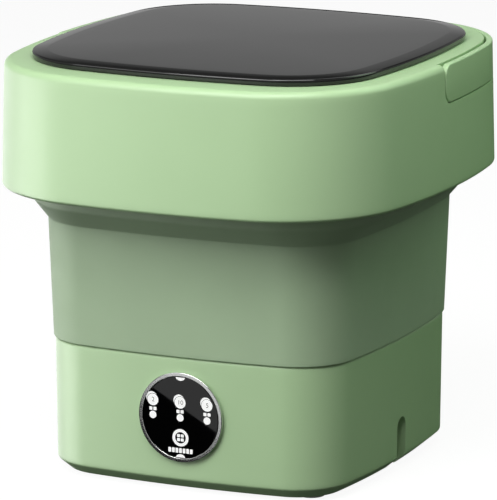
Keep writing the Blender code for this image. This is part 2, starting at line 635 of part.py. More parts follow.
# ---------------------------------------------------------------- rim and handle
RIM_SCREWS = four_sides(LID_PLAN[0] + 0.0035, LID_PLAN[1] + 0.0035)


def make_rim_housing():
    """The rim: an outer skin, a deck with a rounded edge, a mouth with a lip, and the handle's pocket."""
    corner = RIM_TOP - RIM_EDGE
    levels = [(rim(0.0009), RIM_BOTTOM), (rim(0.0002), RIM_BOTTOM + 0.0008), (rim(0.0), RIM_BOTTOM + 0.0023)]
    for step in range(4):
        angle = math.radians(30 * step)
        levels.append((rim(RIM_DRAFT + RIM_EDGE * (1 - math.cos(angle))), corner + RIM_EDGE * math.sin(angle)))
    mouth = MOUTH_INSET
    under = RIM_TOP - RIM_SKIN
    levels += [(lid(mouth - 0.0006), RIM_TOP), (lid(mouth), RIM_TOP - 0.0006), (lid(mouth), LIP_BOTTOM),
               (lid(mouth - 0.0022), LIP_BOTTOM), (lid(mouth - 0.0022), under),
               (rim(RIM_DRAFT + RIM_SKIN + 0.0028), under), (rim(RIM_DRAFT + RIM_SKIN), corner - 0.0008),
               (rim(RIM_SKIN), RIM_BOTTOM + 0.0023), (rim(RIM_SKIN + 0.0003), RIM_BOTTOM)]
    housing = loft("rim_housing", levels, GREEN)

    depth = RIM_DRAFT + HANDLE_SKIN + POCKET_GAP
    floor = HANDLE_BOTTOM - 0.0006
    skin = 0.0022
    block = [(rim(depth + skin), floor - skin), (rim(0.0030), floor - skin), (rim(0.0030), RIM_TOP - 0.0012),
             (rim(depth + skin), RIM_TOP - 0.0012)]
    liner = loft("pocket_liner", block, cutter=True)
    front = HANDLE_FRONT - 0.0009
    rear_half = box("rear_half", (0.4, 0.2, 0.2), (0.0, 0.1 + front - skin, RIM_TOP))
    combine(liner, [rear_half], "INTERSECT")
    combine(housing, [liner], "UNION")

    hollow = [(rim(depth), floor), (rim(-0.0100), floor), (rim(-0.0100), RIM_TOP + 0.0100),
              (rim(depth), RIM_TOP + 0.0100)]
    pocket = loft("pocket", hollow, cutter=True)
    corner_r = HANDLE_CORNER + 0.0008
    shape = corner_arc(front + corner_r, floor + corner_r, corner_r, 180, 270)
    shape = [(front, RIM_TOP + 0.02)] + shape + [(0.2, floor), (0.2, RIM_TOP + 0.02)]
    combine(pocket, [side_prism("pocket_shape", shape, -0.2, 0.2)], "INTERSECT")
    cutters = [pocket]
    for side in (-1, 1):
        cutters.append(side_cylinder(f"pin_hole_{side}", PIN_HOLE, side * 0.126, side * 0.134, PIVOT_Y, PIVOT_Z,
                                     steps=16))
    cutters += screw_holes("deck_screw_hole", RIM_SCREWS, under - 0.003, RIM_TOP - 0.0012, 0.0015)
    combine(housing, cutters)


def make_upper_clamp_ring():
    """The ring and screws that clamp the wall's top flange under the deck."""
    top = WALL_TOP - WALL_SKIN - GAP
    bottom = top - 0.0025
    levels = [(lid(-0.0009), bottom), (lid(-0.0009), top), (lid(-CLAMP_REACH), top), (lid(-CLAMP_REACH), bottom)]
    ring = loft("upper_clamp_ring", levels, WHITE)
    combine(ring, screw_holes("rim_clamp_hole", RIM_SCREWS, bottom - 0.01, top + 0.01, 0.0015))
    for i, (x, y) in enumerate(RIM_SCREWS, 1):
        screw(f"rim_screw_{i}", x, y, bottom - GAP, 0.0068, 0.0022, 0.0012, 1)


def make_handle():
    """The bail that lies in the pocket and swings up about its two front ends."""
    outer_low = RIM_DRAFT * (HANDLE_BOTTOM - RIM_BOTTOM) / (RIM_TOP - RIM_EDGE - RIM_BOTTOM) + 0.0001
    outer_top = RIM_DRAFT + 0.0001
    levels = [(rim(outer_low + 0.0004), HANDLE_BOTTOM), (rim(outer_low), HANDLE_BOTTOM + 0.0005),
              (rim(outer_top), HANDLE_TOP - 0.0020), (rim(outer_top + 0.0006), HANDLE_TOP - 0.0006),
              (rim(outer_top + 0.0020), HANDLE_TOP), (rim(outer_top + HANDLE_SKIN - 0.0006), HANDLE_TOP),
              (rim(outer_top + HANDLE_SKIN), HANDLE_TOP - 0.0006), (rim(outer_top + HANDLE_SKIN), HANDLE_BOTTOM)]
    handle = loft("handle", levels, GREEN)
    radius = HANDLE_CORNER
    shape = corner_arc(HANDLE_FRONT + radius, HANDLE_TOP - radius, radius, 90, 180)
    shape += corner_arc(HANDLE_FRONT + radius, HANDLE_BOTTOM + radius, radius, 180, 270)
    shape += [(0.2, HANDLE_BOTTOM), (0.2, HANDLE_TOP)]
    combine(handle, [side_prism("handle_shape", shape, -0.2, 0.2)], "INTERSECT")
    bores = []
    for side in (-1, 1):
        bores.append(side_cylinder(f"handle_bore_{side}", PIN_HOLE, side * 0.130, side * 0.1366, PIVOT_Y, PIVOT_Z,
                                   steps=16))
    combine(handle, bores)
    pin = [(0.0, 0.1362), (PIN_RADIUS - 0.0004, 0.1362), (PIN_RADIUS, 0.1358), (PIN_RADIUS, 0.1297),
           (0.0045, 0.1297), (0.0045, 0.1275), (0.0, 0.1275)]
    for name, side in (("pivot_pin_right", 1), ("pivot_pin_left", -1)):
        turned(name, pin, (0.0, PIVOT_Y, PIVOT_Z), STEEL, 16, turn=(0.0, side * math.pi / 2, 0.0))


# ---------------------------------------------------------------- lid
def make_lid():
    """The smoked lid: a crowned panel with a sloped band, the frame under it and the seal round its skirt."""
    centre = tuple(value * 0.1 for value in LID_PLAN)
    crown = [(mix(lid(LID_BAND), centre, share), LID_CROWN * share * (2 - share)) for share in (1.0, 0.4, 0.0)]
    levels = [(plan, LID_TOP - LID_SKIN + rise) for plan, rise in crown]
    levels += [(lid(0.0024), LID_TOP - 0.0030), (lid(0.0022), LID_BOTTOM),
               (lid(0.0003), LID_BOTTOM), (lid(0.0), LID_BOTTOM + 0.0008), (lid(0.0002), LID_TOP - 0.0022),
               (lid(0.0005), LID_TOP - 0.0014), (lid(0.0014), LID_TOP - 0.0010)]
    levels += [(plan, LID_TOP + rise) for plan, rise in reversed(crown)]
    loft("lid_panel", levels, SMOKE, capped=True)
    top, ledge = LID_TOP - 0.0033, RIM_TOP + GAP
    frame = [(lid(0.0030), ledge), (lid(0.0030), top), (lid(0.0105), top), (lid(0.0105), LID_SKIRT_BOTTOM),
             (lid(0.0080), LID_SKIRT_BOTTOM), (lid(0.0080), ledge)]
    loft("lid_frame", frame, BLACK)
    seal = [(lid(0.0077), 0.2610), (lid(0.0068), 0.2616), (lid(0.0068), 0.2634), (lid(0.0077), 0.2640)]
    loft("lid_seal", seal, RUBBER)


make_base_housing()
make_bottom_plate()
make_feet()
make_wash_basin()
make_lower_clamp_ring()
make_folding_wall()
make_motor()
make_gearbox()
make_motor_bracket()
make_shaft_parts()
make_pulsator()
make_panel()
make_control_board()
make_dc_socket()
make_drain()
make_plate_screws()
make_rim_housing()
make_upper_clamp_ring()
make_handle()
make_lid()
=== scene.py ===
"""The looks of the portable folding mini washer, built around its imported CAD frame.

Metres, +Z up, the front with the control panel at -Y. Shells are lofted from the CAD's own plan outlines with
finer steps and rounded edges, and every piece rides on the CAD body that it belongs to. The third value of a
profile point is the radius that rounds its corner.
"""
import math

import bmesh
import bpy
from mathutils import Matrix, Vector


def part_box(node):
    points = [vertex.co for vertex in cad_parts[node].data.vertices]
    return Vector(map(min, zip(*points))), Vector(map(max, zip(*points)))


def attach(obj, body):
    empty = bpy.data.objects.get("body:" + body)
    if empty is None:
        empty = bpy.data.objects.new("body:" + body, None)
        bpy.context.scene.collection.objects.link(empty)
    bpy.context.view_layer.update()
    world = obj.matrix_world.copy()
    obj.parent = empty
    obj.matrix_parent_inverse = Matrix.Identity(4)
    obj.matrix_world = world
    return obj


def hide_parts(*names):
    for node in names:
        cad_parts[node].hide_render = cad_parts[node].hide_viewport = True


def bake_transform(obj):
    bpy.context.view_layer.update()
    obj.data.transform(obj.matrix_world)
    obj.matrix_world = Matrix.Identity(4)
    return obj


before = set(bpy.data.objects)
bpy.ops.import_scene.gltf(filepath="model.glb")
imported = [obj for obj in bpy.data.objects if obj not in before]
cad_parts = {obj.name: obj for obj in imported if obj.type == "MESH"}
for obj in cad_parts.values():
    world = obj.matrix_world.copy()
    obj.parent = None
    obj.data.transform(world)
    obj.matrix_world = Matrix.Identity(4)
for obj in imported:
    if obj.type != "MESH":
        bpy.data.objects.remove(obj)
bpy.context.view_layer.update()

# ---------------------------------------------------------------- driving dimensions, from the frame
RIM_LOW, RIM_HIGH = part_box("rim_housing")
BASE_LOW, BASE_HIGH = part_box("base_housing")
LID_LOW, LID_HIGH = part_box("lid_panel")
HANDLE_LOW, HANDLE_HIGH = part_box("handle")
BEZEL_LOW, BEZEL_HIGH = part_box("panel_bezel")
WALL_LOW, WALL_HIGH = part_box("folding_wall")
BASIN_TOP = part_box("wash_basin")[1].z
PLATE_LOW, PLATE_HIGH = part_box("bottom_plate")
FRAME_LOW, FRAME_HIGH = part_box("lid_frame")

BASE_DRAFT = 0.0011         # the base's top edge is this far inside the wall's foot
# Plan outlines: half width, half depth, radius of the bulged sides, corner radius.
RIM_PLAN = (RIM_HIGH.x, RIM_HIGH.y, 0.545, 0.0820)
LID_PLAN = (LID_HIGH.x, LID_HIGH.y, 0.574, 0.0606)
WALL_PLAN = (BASE_HIGH.x + BASE_DRAFT, BASE_HIGH.y + BASE_DRAFT, 0.652, 0.0388)

SIDE_STEPS = 20             # facets along half of one bulged side
CORNER_STEPS = 24           # facets round one corner
ROUND_STEPS = 96            # facets round a turned piece
ARC_STEP = math.radians(15)  # one facet of a rounded profile corner
SHARP = math.radians(32)    # edges that bend more than this stay sharp
FAR = 0.2                   # well outside the washer, for tools that cut or keep a whole side

DRAIN_Y = 0.0025
SLOT_WIDTH, SLOT_TOP, SLOT_BACK, SLOT_SKIN = 0.0140, 0.0350, 0.0907, 0.0022
PANEL_X = (BEZEL_LOW.x + BEZEL_HIGH.x) / 2
PANEL_Z = (BEZEL_LOW.z + BEZEL_HIGH.z) / 2
PANEL_FRONT = -BEZEL_LOW.y
PRINT_ROOT = 0.0001         # how far a print reaches into the glass
HANDLE_CORNER = 0.0080
HANDLE_SKIN = 0.0046
RIM_DRAFT = 0.0021          # the rim's top edge is this far inside its lower edge
POCKET_GAP = 0.0010         # between the handle and the back of its pocket
PIVOT_Y, PIVOT_Z, PIVOT_BORE = 0.0010, 0.2586, 0.0030
SCREW_HOLE, BOSS_RADIUS = 0.0017, 0.0045
LID_BAND = 0.0100           # width of the sloped band round the lid
LID_EDGE = LID_LOW.z + 0.0049  # height of the band's inner edge, where the crown starts
LID_CENTRE = 0.02           # the crown's innermost ring, as a share of the plan


# ---------------------------------------------------------------- materials
def shader_of(material):
    """The material's Principled shader."""
    return material.node_tree.nodes["Principled BSDF"]


def new_material(name, rgb, roughness, metallic=0.0, specular=0.5):
    """A Principled material with constant values on its own sockets."""
    made = bpy.data.materials.new(name)
    made.use_nodes = True
    values = {"Base Color": (*rgb, 1.0), "Roughness": roughness, "Metallic": metallic,
              "Specular IOR Level": specular}
    for socket, value in values.items():
        shader_of(made).inputs[socket].default_value = value
    return made


def glow(material, strength):
    """Let a material give off white light as well."""
    shader_of(material).inputs["Emission Color"].default_value = (1.0, 1.0, 1.0, 1.0)
    shader_of(material).inputs["Emission Strength"].default_value = strength
    return material


def noise(material, scale, detail=3.0, stretch=(1.0, 1.0, 1.0)):
    """A noise texture in object space; its output runs from 0 to 1."""
    nodes, links = material.node_tree.nodes, material.node_tree.links
    place = nodes.new("ShaderNodeTexCoord")
    mapping = nodes.new("ShaderNodeMapping")
    mapping.inputs["Scale"].default_value = stretch
    texture = nodes.new("ShaderNodeTexNoise")
    texture.inputs["Scale"].default_value = scale
    texture.inputs["Detail"].default_value = detail
    links.new(place.outputs["Object"], mapping.inputs["Vector"])
    links.new(mapping.outputs["Vector"], texture.inputs["Vector"])
    return texture.outputs["Fac"]


def add_bump(material, height, strength, distance):
    """Add a height field to the material's normal, on top of any bump it has."""
    nodes, links = material.node_tree.nodes, material.node_tree.links
    bump = nodes.new("ShaderNodeBump")
    bump.inputs["Strength"].default_value = strength
    bump.inputs["Distance"].default_value = distance
    links.new(height, bump.inputs["Height"])
    normal = shader_of(material).inputs["Normal"]
    if normal.is_linked:
        links.new(normal.links[0].from_socket, bump.inputs["Normal"])
    links.new(bump.outputs["Normal"], normal)


def vary_roughness(material, field, low, high):
    """Let the roughness follow a field between two values; noise keeps mostly between 0.3 and 0.7."""
    nodes, links = material.node_tree.nodes, material.node_tree.links
    spread = nodes.new("ShaderNodeMapRange")
    spread.inputs["From Min"].default_value = 0.3
    spread.inputs["From Max"].default_value = 0.7
    spread.inputs["To Min"].default_value = low
    spread.inputs["To Max"].default_value = high
    links.new(field, spread.inputs["Value"])
    links.new(spread.outputs["Result"], shader_of(material).inputs["Roughness"])


def vary_colour(material, field, dark, light):
    """Let the base colour follow a field between two colours."""
    nodes, links = material.node_tree.nodes, material.node_tree.links
    ramp = nodes.new("ShaderNodeValToRGB")
    for element, position, colour in zip(ramp.color_ramp.elements, (0.35, 0.65), (dark, light)):
        element.position = position
        element.color = (*colour, 1.0)
    links.new(field, ramp.inputs["Fac"])
    links.new(ramp.outputs["Color"], shader_of(material).inputs["Base Color"])


def tint(rgb, factor):
    """A colour made lighter or darker."""
    return tuple(min(1.0, value * factor) for value in rgb)


def moulded(name, rgb, roughness, grain=1.0):
    """Moulded plastic: fine spark-eroded grain, a slow waviness, and slight changes of gloss and colour."""
    made = new_material(name, rgb, roughness)
    vary_colour(made, noise(made, 9.0, 2.0), tint(rgb, 0.985), tint(rgb, 1.015))
    vary_roughness(made, noise(made, 60.0, 4.0), roughness - 0.03, roughness + 0.03)
    add_bump(made, noise(made, 2600.0, 2.0), 0.10 * grain, 0.0002)
    add_bump(made, noise(made, 14.0, 1.0), 0.10, 0.0006)
    return made


GREEN_RGB = (0.42, 0.60, 0.34)
SOFT_RGB = (0.350, 0.475, 0.300)


def make_soft_green():
    """Soft elastomer: matt, with a velvety sheen and a fine stipple."""
    made = new_material("soft_green", SOFT_RGB, 0.62, specular=0.35)
    shader = shader_of(made)
    shader.inputs["Sheen Weight"].default_value = 0.12
    shader.inputs["Sheen Roughness"].default_value = 0.5
    vary_colour(made, noise(made, 12.0, 3.0), tint(SOFT_RGB, 0.97), tint(SOFT_RGB, 1.03))
    vary_roughness(made, noise(made, 80.0, 4.0), 0.58, 0.68)
    add_bump(made, noise(made, 1800.0, 2.0), 0.18, 0.0002)
    add_bump(made, noise(made, 22.0, 2.0), 0.12, 0.0008)
    return made


def make_smoke():
    """The lid's glossy smoked plastic, with a faint orange peel."""
    made = new_material("smoked_lid", (0.014, 0.014, 0.014), 0.07)
    vary_roughness(made, noise(made, 40.0, 4.0), 0.055, 0.085)
    add_bump(made, noise(made, 120.0, 1.0), 0.015, 0.0003)
    return made


def make_glass():
    """The panel's black glass, with slight changes of gloss."""
    made = new_material("panel_black", (0.0010, 0.0010, 0.0011), 0.03)
    vary_roughness(made, noise(made, 50.0), 0.008, 0.02)
    return made


def metal(name, rgb, roughness):
    """Metal with fine streaks along its length."""
    streak = (1.0, 1.0, 30.0)
    made = new_material(name, rgb, roughness, metallic=1.0)
    vary_roughness(made, noise(made, 400.0, 3.0, streak), roughness - 0.06, roughness + 0.08)
    add_bump(made, noise(made, 700.0, 2.0, streak), 0.06, 0.0001)
    return made


GREEN = moulded("green_plastic", GREEN_RGB, 0.36)
SOFT_GREEN = make_soft_green()
SMOKE = make_smoke()
WHITE = moulded("white_plastic", (0.72, 0.73, 0.70), 0.38)
BLACK = moulded("black_plastic", (0.020, 0.020, 0.021), 0.48, grain=2.0)
GREY_RUBBER = moulded("grey_rubber", (0.42, 0.42, 0.41), 0.70, grain=2.0)
GLASS = make_glass()
# The white print glows faintly of its own: painted brightness, so that the prints read white on the dark
# glass.
GLOWING_PRINT = glow(moulded("white_print_painted_glow", (0.90, 0.90, 0.89), 0.45), 0.18)
DIGIT = moulded("grey_print", (0.12, 0.12, 0.12), 0.45)
SILVER = metal("silver_trim", (0.80, 0.81, 0.80), 0.07)
STEEL = metal("steel", (0.58, 0.58, 0.57), 0.32)
BOARD = moulded("circuit_board", (0.012, 0.10, 0.035), 0.35)


# ---------------------------------------------------------------- shape helpers
def show(obj, body, slot, *nodes):
    """Make a finished piece ride on its body and stand for its CAD nodes."""
    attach(obj, body)
    if nodes:
        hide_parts(*nodes)


def finish_mesh(name, bm, material):
    """Turn a bmesh into a smooth-shaded object with outward faces."""
    bmesh.ops.recalc_face_normals(bm, faces=bm.faces)
    mesh = bpy.data.meshes.new(name)
    bm.to_mesh(mesh)
    bm.free()
    return finish_object(name, mesh, material)


def finish_object(name, mesh, material):
    """Link a mesh as an object, smooth except along its sharp edges."""
    mesh.materials.clear()
    mesh.materials.append(material)
    mesh.shade_smooth()
    mesh.set_sharp_from_angle(angle=SHARP)
    made = bpy.data.objects.new(name, mesh)
    bpy.context.scene.collection.objects.link(made)
    return made


def inset(plan, distance):
    """The outline parallel to a plan outline, a distance inside it."""
    return tuple(value - distance for value in plan)


def mix(plan_a, plan_b, share):
    """An outline part of the way from one plan outline to another."""
    return tuple(a + (b - a) * share for a, b in zip(plan_a, plan_b))


def outline(plan, side_steps=SIDE_STEPS, corner_steps=CORNER_STEPS):
    """Points of a rounded rectangle whose four sides are bulged arcs, from +X round by +Y."""
    half_x, half_y, side_r, corner_r = plan
    # Centres of the arcs: of the right side, of the rear side, and of the corner that touches both.
    side = (half_x - side_r, 0.0)
    end = (0.0, half_y - side_r)
    span = math.dist(side, end)
    reach = math.sqrt((side_r - corner_r) ** 2 - (span / 2) ** 2)
    lean = math.atan2(end[1] - side[1], end[0] - side[0]) + math.pi / 2
    between = ((side[0] + end[0]) / 2, (side[1] + end[1]) / 2)
    corner = (between[0] + reach * math.cos(lean), between[1] + reach * math.sin(lean))
    start = math.atan2(corner[1] - side[1], corner[0] - side[0])
    stop = math.atan2(corner[1] - end[1], corner[0] - end[0])
    quarter = []
    for step in range(side_steps + 1):
        angle = start * step / side_steps
        quarter.append((side[0] + side_r * math.cos(angle), side_r * math.sin(angle)))
    for step in range(1, corner_steps):
        angle = start + (stop - start) * step / corner_steps
        quarter.append((corner[0] + corner_r * math.cos(angle), corner[1] + corner_r * math.sin(angle)))
    for step in range(side_steps + 1):
        angle = stop + (math.pi / 2 - stop) * step / side_steps
        quarter.append((side_r * math.cos(angle), end[1] + side_r * math.sin(angle)))
    left = [(-x, y) for x, y in reversed(quarter[:-1])]
    upper = quarter + left
    lower = [(x, -y) for x, y in reversed(upper[1:-1])]
    return upper + lower


def rounded(points, closed=True):
    """Round the corners of a polyline of (u, v) or (u, v, radius) points."""
    done = []
    count = len(points)
    for i, point in enumerate(points):
        radius = point[2] if len(point) > 2 else 0.0
        here = Vector(point[:2])
        if radius <= 0 or (not closed and i in (0, count - 1)):
            done.append(tuple(here))
            continue
        before = (Vector(points[i - 1][:2]) - here).normalized()
        after = (Vector(points[(i + 1) % count][:2]) - here).normalized()
        bend = before.angle(after)
        reach = radius / math.tan(bend / 2)
        centre = here + (before + after).normalized() * radius / math.sin(bend / 2)
        first = here + before * reach - centre
        last = here + after * reach - centre
        sweep = first.angle(last)
        steps = max(2, round(sweep / ARC_STEP))
        for step in range(steps + 1):
            share = step / steps
            weight_a = math.sin((1 - share) * sweep) / math.sin(sweep)
            weight_b = math.sin(share * sweep) / math.sin(sweep)
            done.append(tuple(centre + first * weight_a + last * weight_b))
    return done


def dense(points, step, closed=True):
    """Split the long runs of a polyline."""
    done = []
    count = len(points)
    for i in range(count if closed else count - 1):
        here, after = points[i], points[(i + 1) % count]
        parts = max(1, math.ceil(math.dist(here, after) / step))
        for part in range(parts):
            share = part / parts
            done.append((here[0] + (after[0] - here[0]) * share, here[1] + (after[1] - here[1]) * share))
    if not closed:
        done.append(points[-1])
    return done


def wall_plan(half):
    """The wall's outline at a half width: square at the foot, like the lid's above the flare."""
    straight, flared = WALL_PLAN[0] + 0.0030, LID_PLAN[0]
    share = min(1.0, max(0.0, (half - straight) / (flared - straight)))
    return mix(inset(WALL_PLAN, WALL_PLAN[0] - half), inset(LID_PLAN, LID_PLAN[0] - half), share)


def rim_plan(half):
    """The rim's outline at a half width: the rim's own outside, the lid's at the mouth."""
    mouth, skin = LID_PLAN[0], RIM_PLAN[0] - 0.0075
    share = min(1.0, max(0.0, (half - mouth) / (skin - mouth)))
    return mix(inset(LID_PLAN, LID_PLAN[0] - half), inset(RIM_PLAN, RIM_PLAN[0] - half), share)


def base_plan(half):
    """The base's outline at a half width."""
    return inset(WALL_PLAN, WALL_PLAN[0] - half)


def lid_plan(half):
    """The lid's outline at a half width; inside the band it shrinks towards the middle."""
    edge = inset(LID_PLAN, LID_BAND)
    if half >= edge[0]:
        return inset(LID_PLAN, LID_PLAN[0] - half)
    centre = tuple(value * LID_CENTRE for value in LID_PLAN)
    return mix(edge, centre, (edge[0] - half) / (edge[0] - centre[0]))


def bridge(bm, rings, capped):
    """Join rings of vertices with quads, from the first to the last, and cap the ends or close the loop."""
    for low, high in zip(rings, rings[1:] if capped else rings[1:] + rings[:1]):
        for i in range(len(low)):
            after = (i + 1) % len(low)
            bm.faces.new((low[i], low[after], high[after], high[i]))
    if capped:
        bm.faces.new(rings[0])
        bm.faces.new(reversed(rings[-1]))


def loft(name, profile, plan_at, material, capped=False):
    """Skin a profile of (half width, z) points round a plan: a closed ring of section, or a capped body."""
    bm = bmesh.new()
    rings = [[bm.verts.new((x, y, z)) for x, y in outline(plan_at(half))] for half, z in profile]
    bridge(bm, rings, capped)
    return finish_mesh(name, bm, material)


def turned(name, profile, material, place=(0.0, 0.0, 0.0), axis="Z", steps=ROUND_STEPS):
    """Revolve a profile of (radius, height) points about an axis; a radius of 0 closes on the axis."""
    bm = bmesh.new()
    on_axis = profile[0][0] <= 0
    rings = []
    for radius, height in profile:
        if radius <= 0:
            rings.append([bm.verts.new((0.0, 0.0, height))])
            continue
        angles = [2 * math.pi * i / steps for i in range(steps)]
        rings.append([bm.verts.new((radius * math.cos(a), radius * math.sin(a), height)) for a in angles])
    pairs = list(zip(rings, rings[1:]))
    if not on_axis:
        pairs.append((rings[-1], rings[0]))
    for low, high in pairs:
        for i in range(steps):
            after = i + 1
            corners = [low[i % len(low)], low[after % len(low)], high[after % len(high)], high[i % len(high)]]
            face = list(dict.fromkeys(corners))
            if len(face) > 2:
                bm.faces.new(face)
    turn_to_axis(bm, axis)
    bmesh.ops.translate(bm, vec=place, verts=bm.verts)
    return finish_mesh(name, bm, material)


def turn_to_axis(bm, axis):
    """Turn a shape built along +Z to face along another axis."""
    for vert in bm.verts:
        x, y, z = vert.co
        if axis == "-Y":
            vert.co = (x, -z, y)
        elif axis == "+Y":
            vert.co = (-x, z, y)
        elif axis == "+X":
            vert.co = (z, y, -x)


def cutter_cylinder(radius, start, end, place, axis="Z", steps=48):
    """A cylinder for a boolean, from start to end along its axis."""
    bm = bmesh.new()
    length = abs(end - start)
    bmesh.ops.create_cone(bm, cap_ends=True, segments=steps, radius1=radius, radius2=radius, depth=length)
    bmesh.ops.translate(bm, vec=(0.0, 0.0, (start + end) / 2), verts=bm.verts)
    turn_to_axis(bm, axis)
    bmesh.ops.translate(bm, vec=place, verts=bm.verts)
    return finish_mesh("cutter", bm, WHITE)


def box(name, low, high, material, bevel=0.0):
    """A box between two corners, with rounded edges."""
    bm = bmesh.new()
    bmesh.ops.create_cube(bm, size=1.0)
    low, high = Vector(low), Vector(high)
    bmesh.ops.scale(bm, vec=high - low, verts=bm.verts)
    bmesh.ops.translate(bm, vec=(low + high) / 2, verts=bm.verts)
    if bevel > 0:
        bmesh.ops.bevel(bm, geom=bm.edges, offset=bevel, segments=3, profile=0.5, affect="EDGES")
    return finish_mesh(name, bm, material)


def prism(name, corners, vec, material):
    """A flat outline in space, extruded along a vector."""
    bm = bmesh.new()
    face = bm.faces.new([bm.verts.new(corner) for corner in corners])
    grown = bmesh.ops.extrude_face_region(bm, geom=[face])
    moved = [item for item in grown["geom"] if isinstance(item, bmesh.types.BMVert)]
    bmesh.ops.translate(bm, vec=vec, verts=moved)
    return finish_mesh(name, bm, material)


def side_prism(points, start, end):
    """A prism along X from its (y, z) outline, for a boolean."""
    return prism("prism", [(start, y, z) for y, z in points], (end - start, 0.0, 0.0), GREEN)


def combine(target, others, operation="DIFFERENCE"):
    """Cut the others from the target, join them or keep what they share, and drop them."""
    group = bpy.data.collections.new("operands")
    for other in others:
        group.objects.link(other)
    boolean = target.modifiers.new("combine", "BOOLEAN")
    boolean.operation = operation
    boolean.operand_type = "COLLECTION"
    boolean.collection = group
    made = bpy.data.meshes.new_from_object(target.evaluated_get(bpy.context.evaluated_depsgraph_get()))
    target.modifiers.clear()
    target.data = made
    for other in others:
        bpy.data.objects.remove(other)
    bpy.data.collections.remove(group)
    made.shade_smooth()
    made.set_sharp_from_angle(angle=SHARP)


def around(place):
    """The four mirror images of one place, in X and Y, in the CAD's order."""
    x, y = place
    return [(sx * x, sy * y) for sx in (1, -1) for sy in (1, -1)]


def middle_of(node):
    """The middle of a CAD node's box."""
    low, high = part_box(node)
    return (low + high) / 2


# ---------------------------------------------------------------- rim
def make_rim():
    """The rim: a drafted skin, a deck with a soft edge, a mouth with a lip, and the handle's pocket."""
    half, top, bottom = RIM_PLAN[0], RIM_HIGH.z, RIM_LOW.z
    shoulder, mouth = half - RIM_DRAFT, LID_PLAN[0] - 0.0065
    skin, lip_skin, lip = 0.0026, 0.0022, 0.2595
    under = top - skin
    profile = [(half, bottom, 0.0024), (shoulder, top, 0.0045), (mouth, top, 0.0012), (mouth, lip, 0.0008),
               (mouth + lip_skin, lip, 0.0008), (mouth + lip_skin, under, 0.0010),
               (shoulder - skin, under, 0.0020), (half - 0.0027, bottom, 0.0004)]
    rim = loft("rim_shell", dense(rounded(profile), 0.0035), rim_plan, GREEN)

    # A liner behind the handle's pocket, so that the pocket can be cut deeper than the skin.
    pocket_skin = 0.0022
    floor, front = HANDLE_LOW.z - 0.0008, HANDLE_LOW.y - 0.0022
    wide, deep = half - 0.0030, half - (RIM_DRAFT + HANDLE_SKIN + POCKET_GAP)
    inside, below, above = deep - pocket_skin, floor - pocket_skin, top - 0.0012
    liner = loft("liner", [(inside, below), (wide, below), (wide, above), (inside, above)], rim_plan, GREEN)
    rear = box("rear", (-FAR, front - pocket_skin, 0.1), (FAR, FAR, 0.3), GREEN)
    combine(liner, [rear], "INTERSECT")
    combine(rim, [liner], "UNION")

    outside, above = half + 0.0100, top + 0.0100
    hollow = [(deep, floor), (outside, floor), (outside, above), (deep, above)]
    pocket = loft("pocket", hollow, rim_plan, GREEN)
    above, corner = top + 0.02, HANDLE_CORNER + 0.0008
    shape = rounded([(front, above), (front, floor, corner), (FAR, floor), (FAR, above)])
    combine(pocket, [side_prism(shape, -FAR, FAR)], "INTERSECT")
    bore = 0.008
    cutters = [pocket]
    for start in (-0.134, 0.126):
        cutters.append(cutter_cylinder(PIVOT_BORE, start, start + bore, (0.0, PIVOT_Y, PIVOT_Z), "+X"))
    combine(rim, cutters)
    show(rim, "rim", "green_plastic", "rim_housing")


def make_handle():
    """The carry bail: a rounded bar swept round the rim's rear half, with rounded ends."""
    top, bottom, radius = HANDLE_HIGH.z, HANDLE_LOW.z, HANDLE_CORNER
    below, beside = 0.72, 0.28      # shares of the rim's draft below the handle and along its height
    outer_low = RIM_PLAN[0] - RIM_DRAFT * below
    lean = RIM_DRAFT * beside / (top - bottom)
    rear = [point for point in outline(RIM_PLAN, 40, 40) if point[1] > HANDLE_LOW.y - 0.003]
    path = arc_points(rear, HANDLE_LOW.y)
    whole, end_round = path[-1][3], 0.0004
    bm = bmesh.new()
    rings = []
    for x, y, away, length in path:
        near = min(length, whole - length)
        drop = 0.0
        if near < radius:
            drop = radius - math.sqrt(max(0.0, radius ** 2 - (radius - near) ** 2))
        pinch = max(0.0, end_round - near)
        high, low = top - drop, bottom + drop
        section = [(-pinch, low, 0.0005), (-pinch - lean * (high - low), high, 0.0010),
                   (pinch - HANDLE_SKIN, high, 0.0007), (pinch - HANDLE_SKIN, low, 0.0005)]
        ring = []
        for out, z in rounded(section):
            shift = outer_low - RIM_PLAN[0] + out
            ring.append(bm.verts.new((x + away[0] * shift, y + away[1] * shift, z)))
        rings.append(ring)
    bridge(bm, rings, capped=True)
    handle = finish_mesh("carry_handle", bm, GREEN)
    bore = 0.0066
    cutters = []
    for start in (-0.1366, 0.130):
        cutters.append(cutter_cylinder(PIVOT_BORE, start, start + bore, (0.0, PIVOT_Y, PIVOT_Z), "+X", 24))
    combine(handle, cutters)
    show(handle, "handle", "green_plastic", "handle")


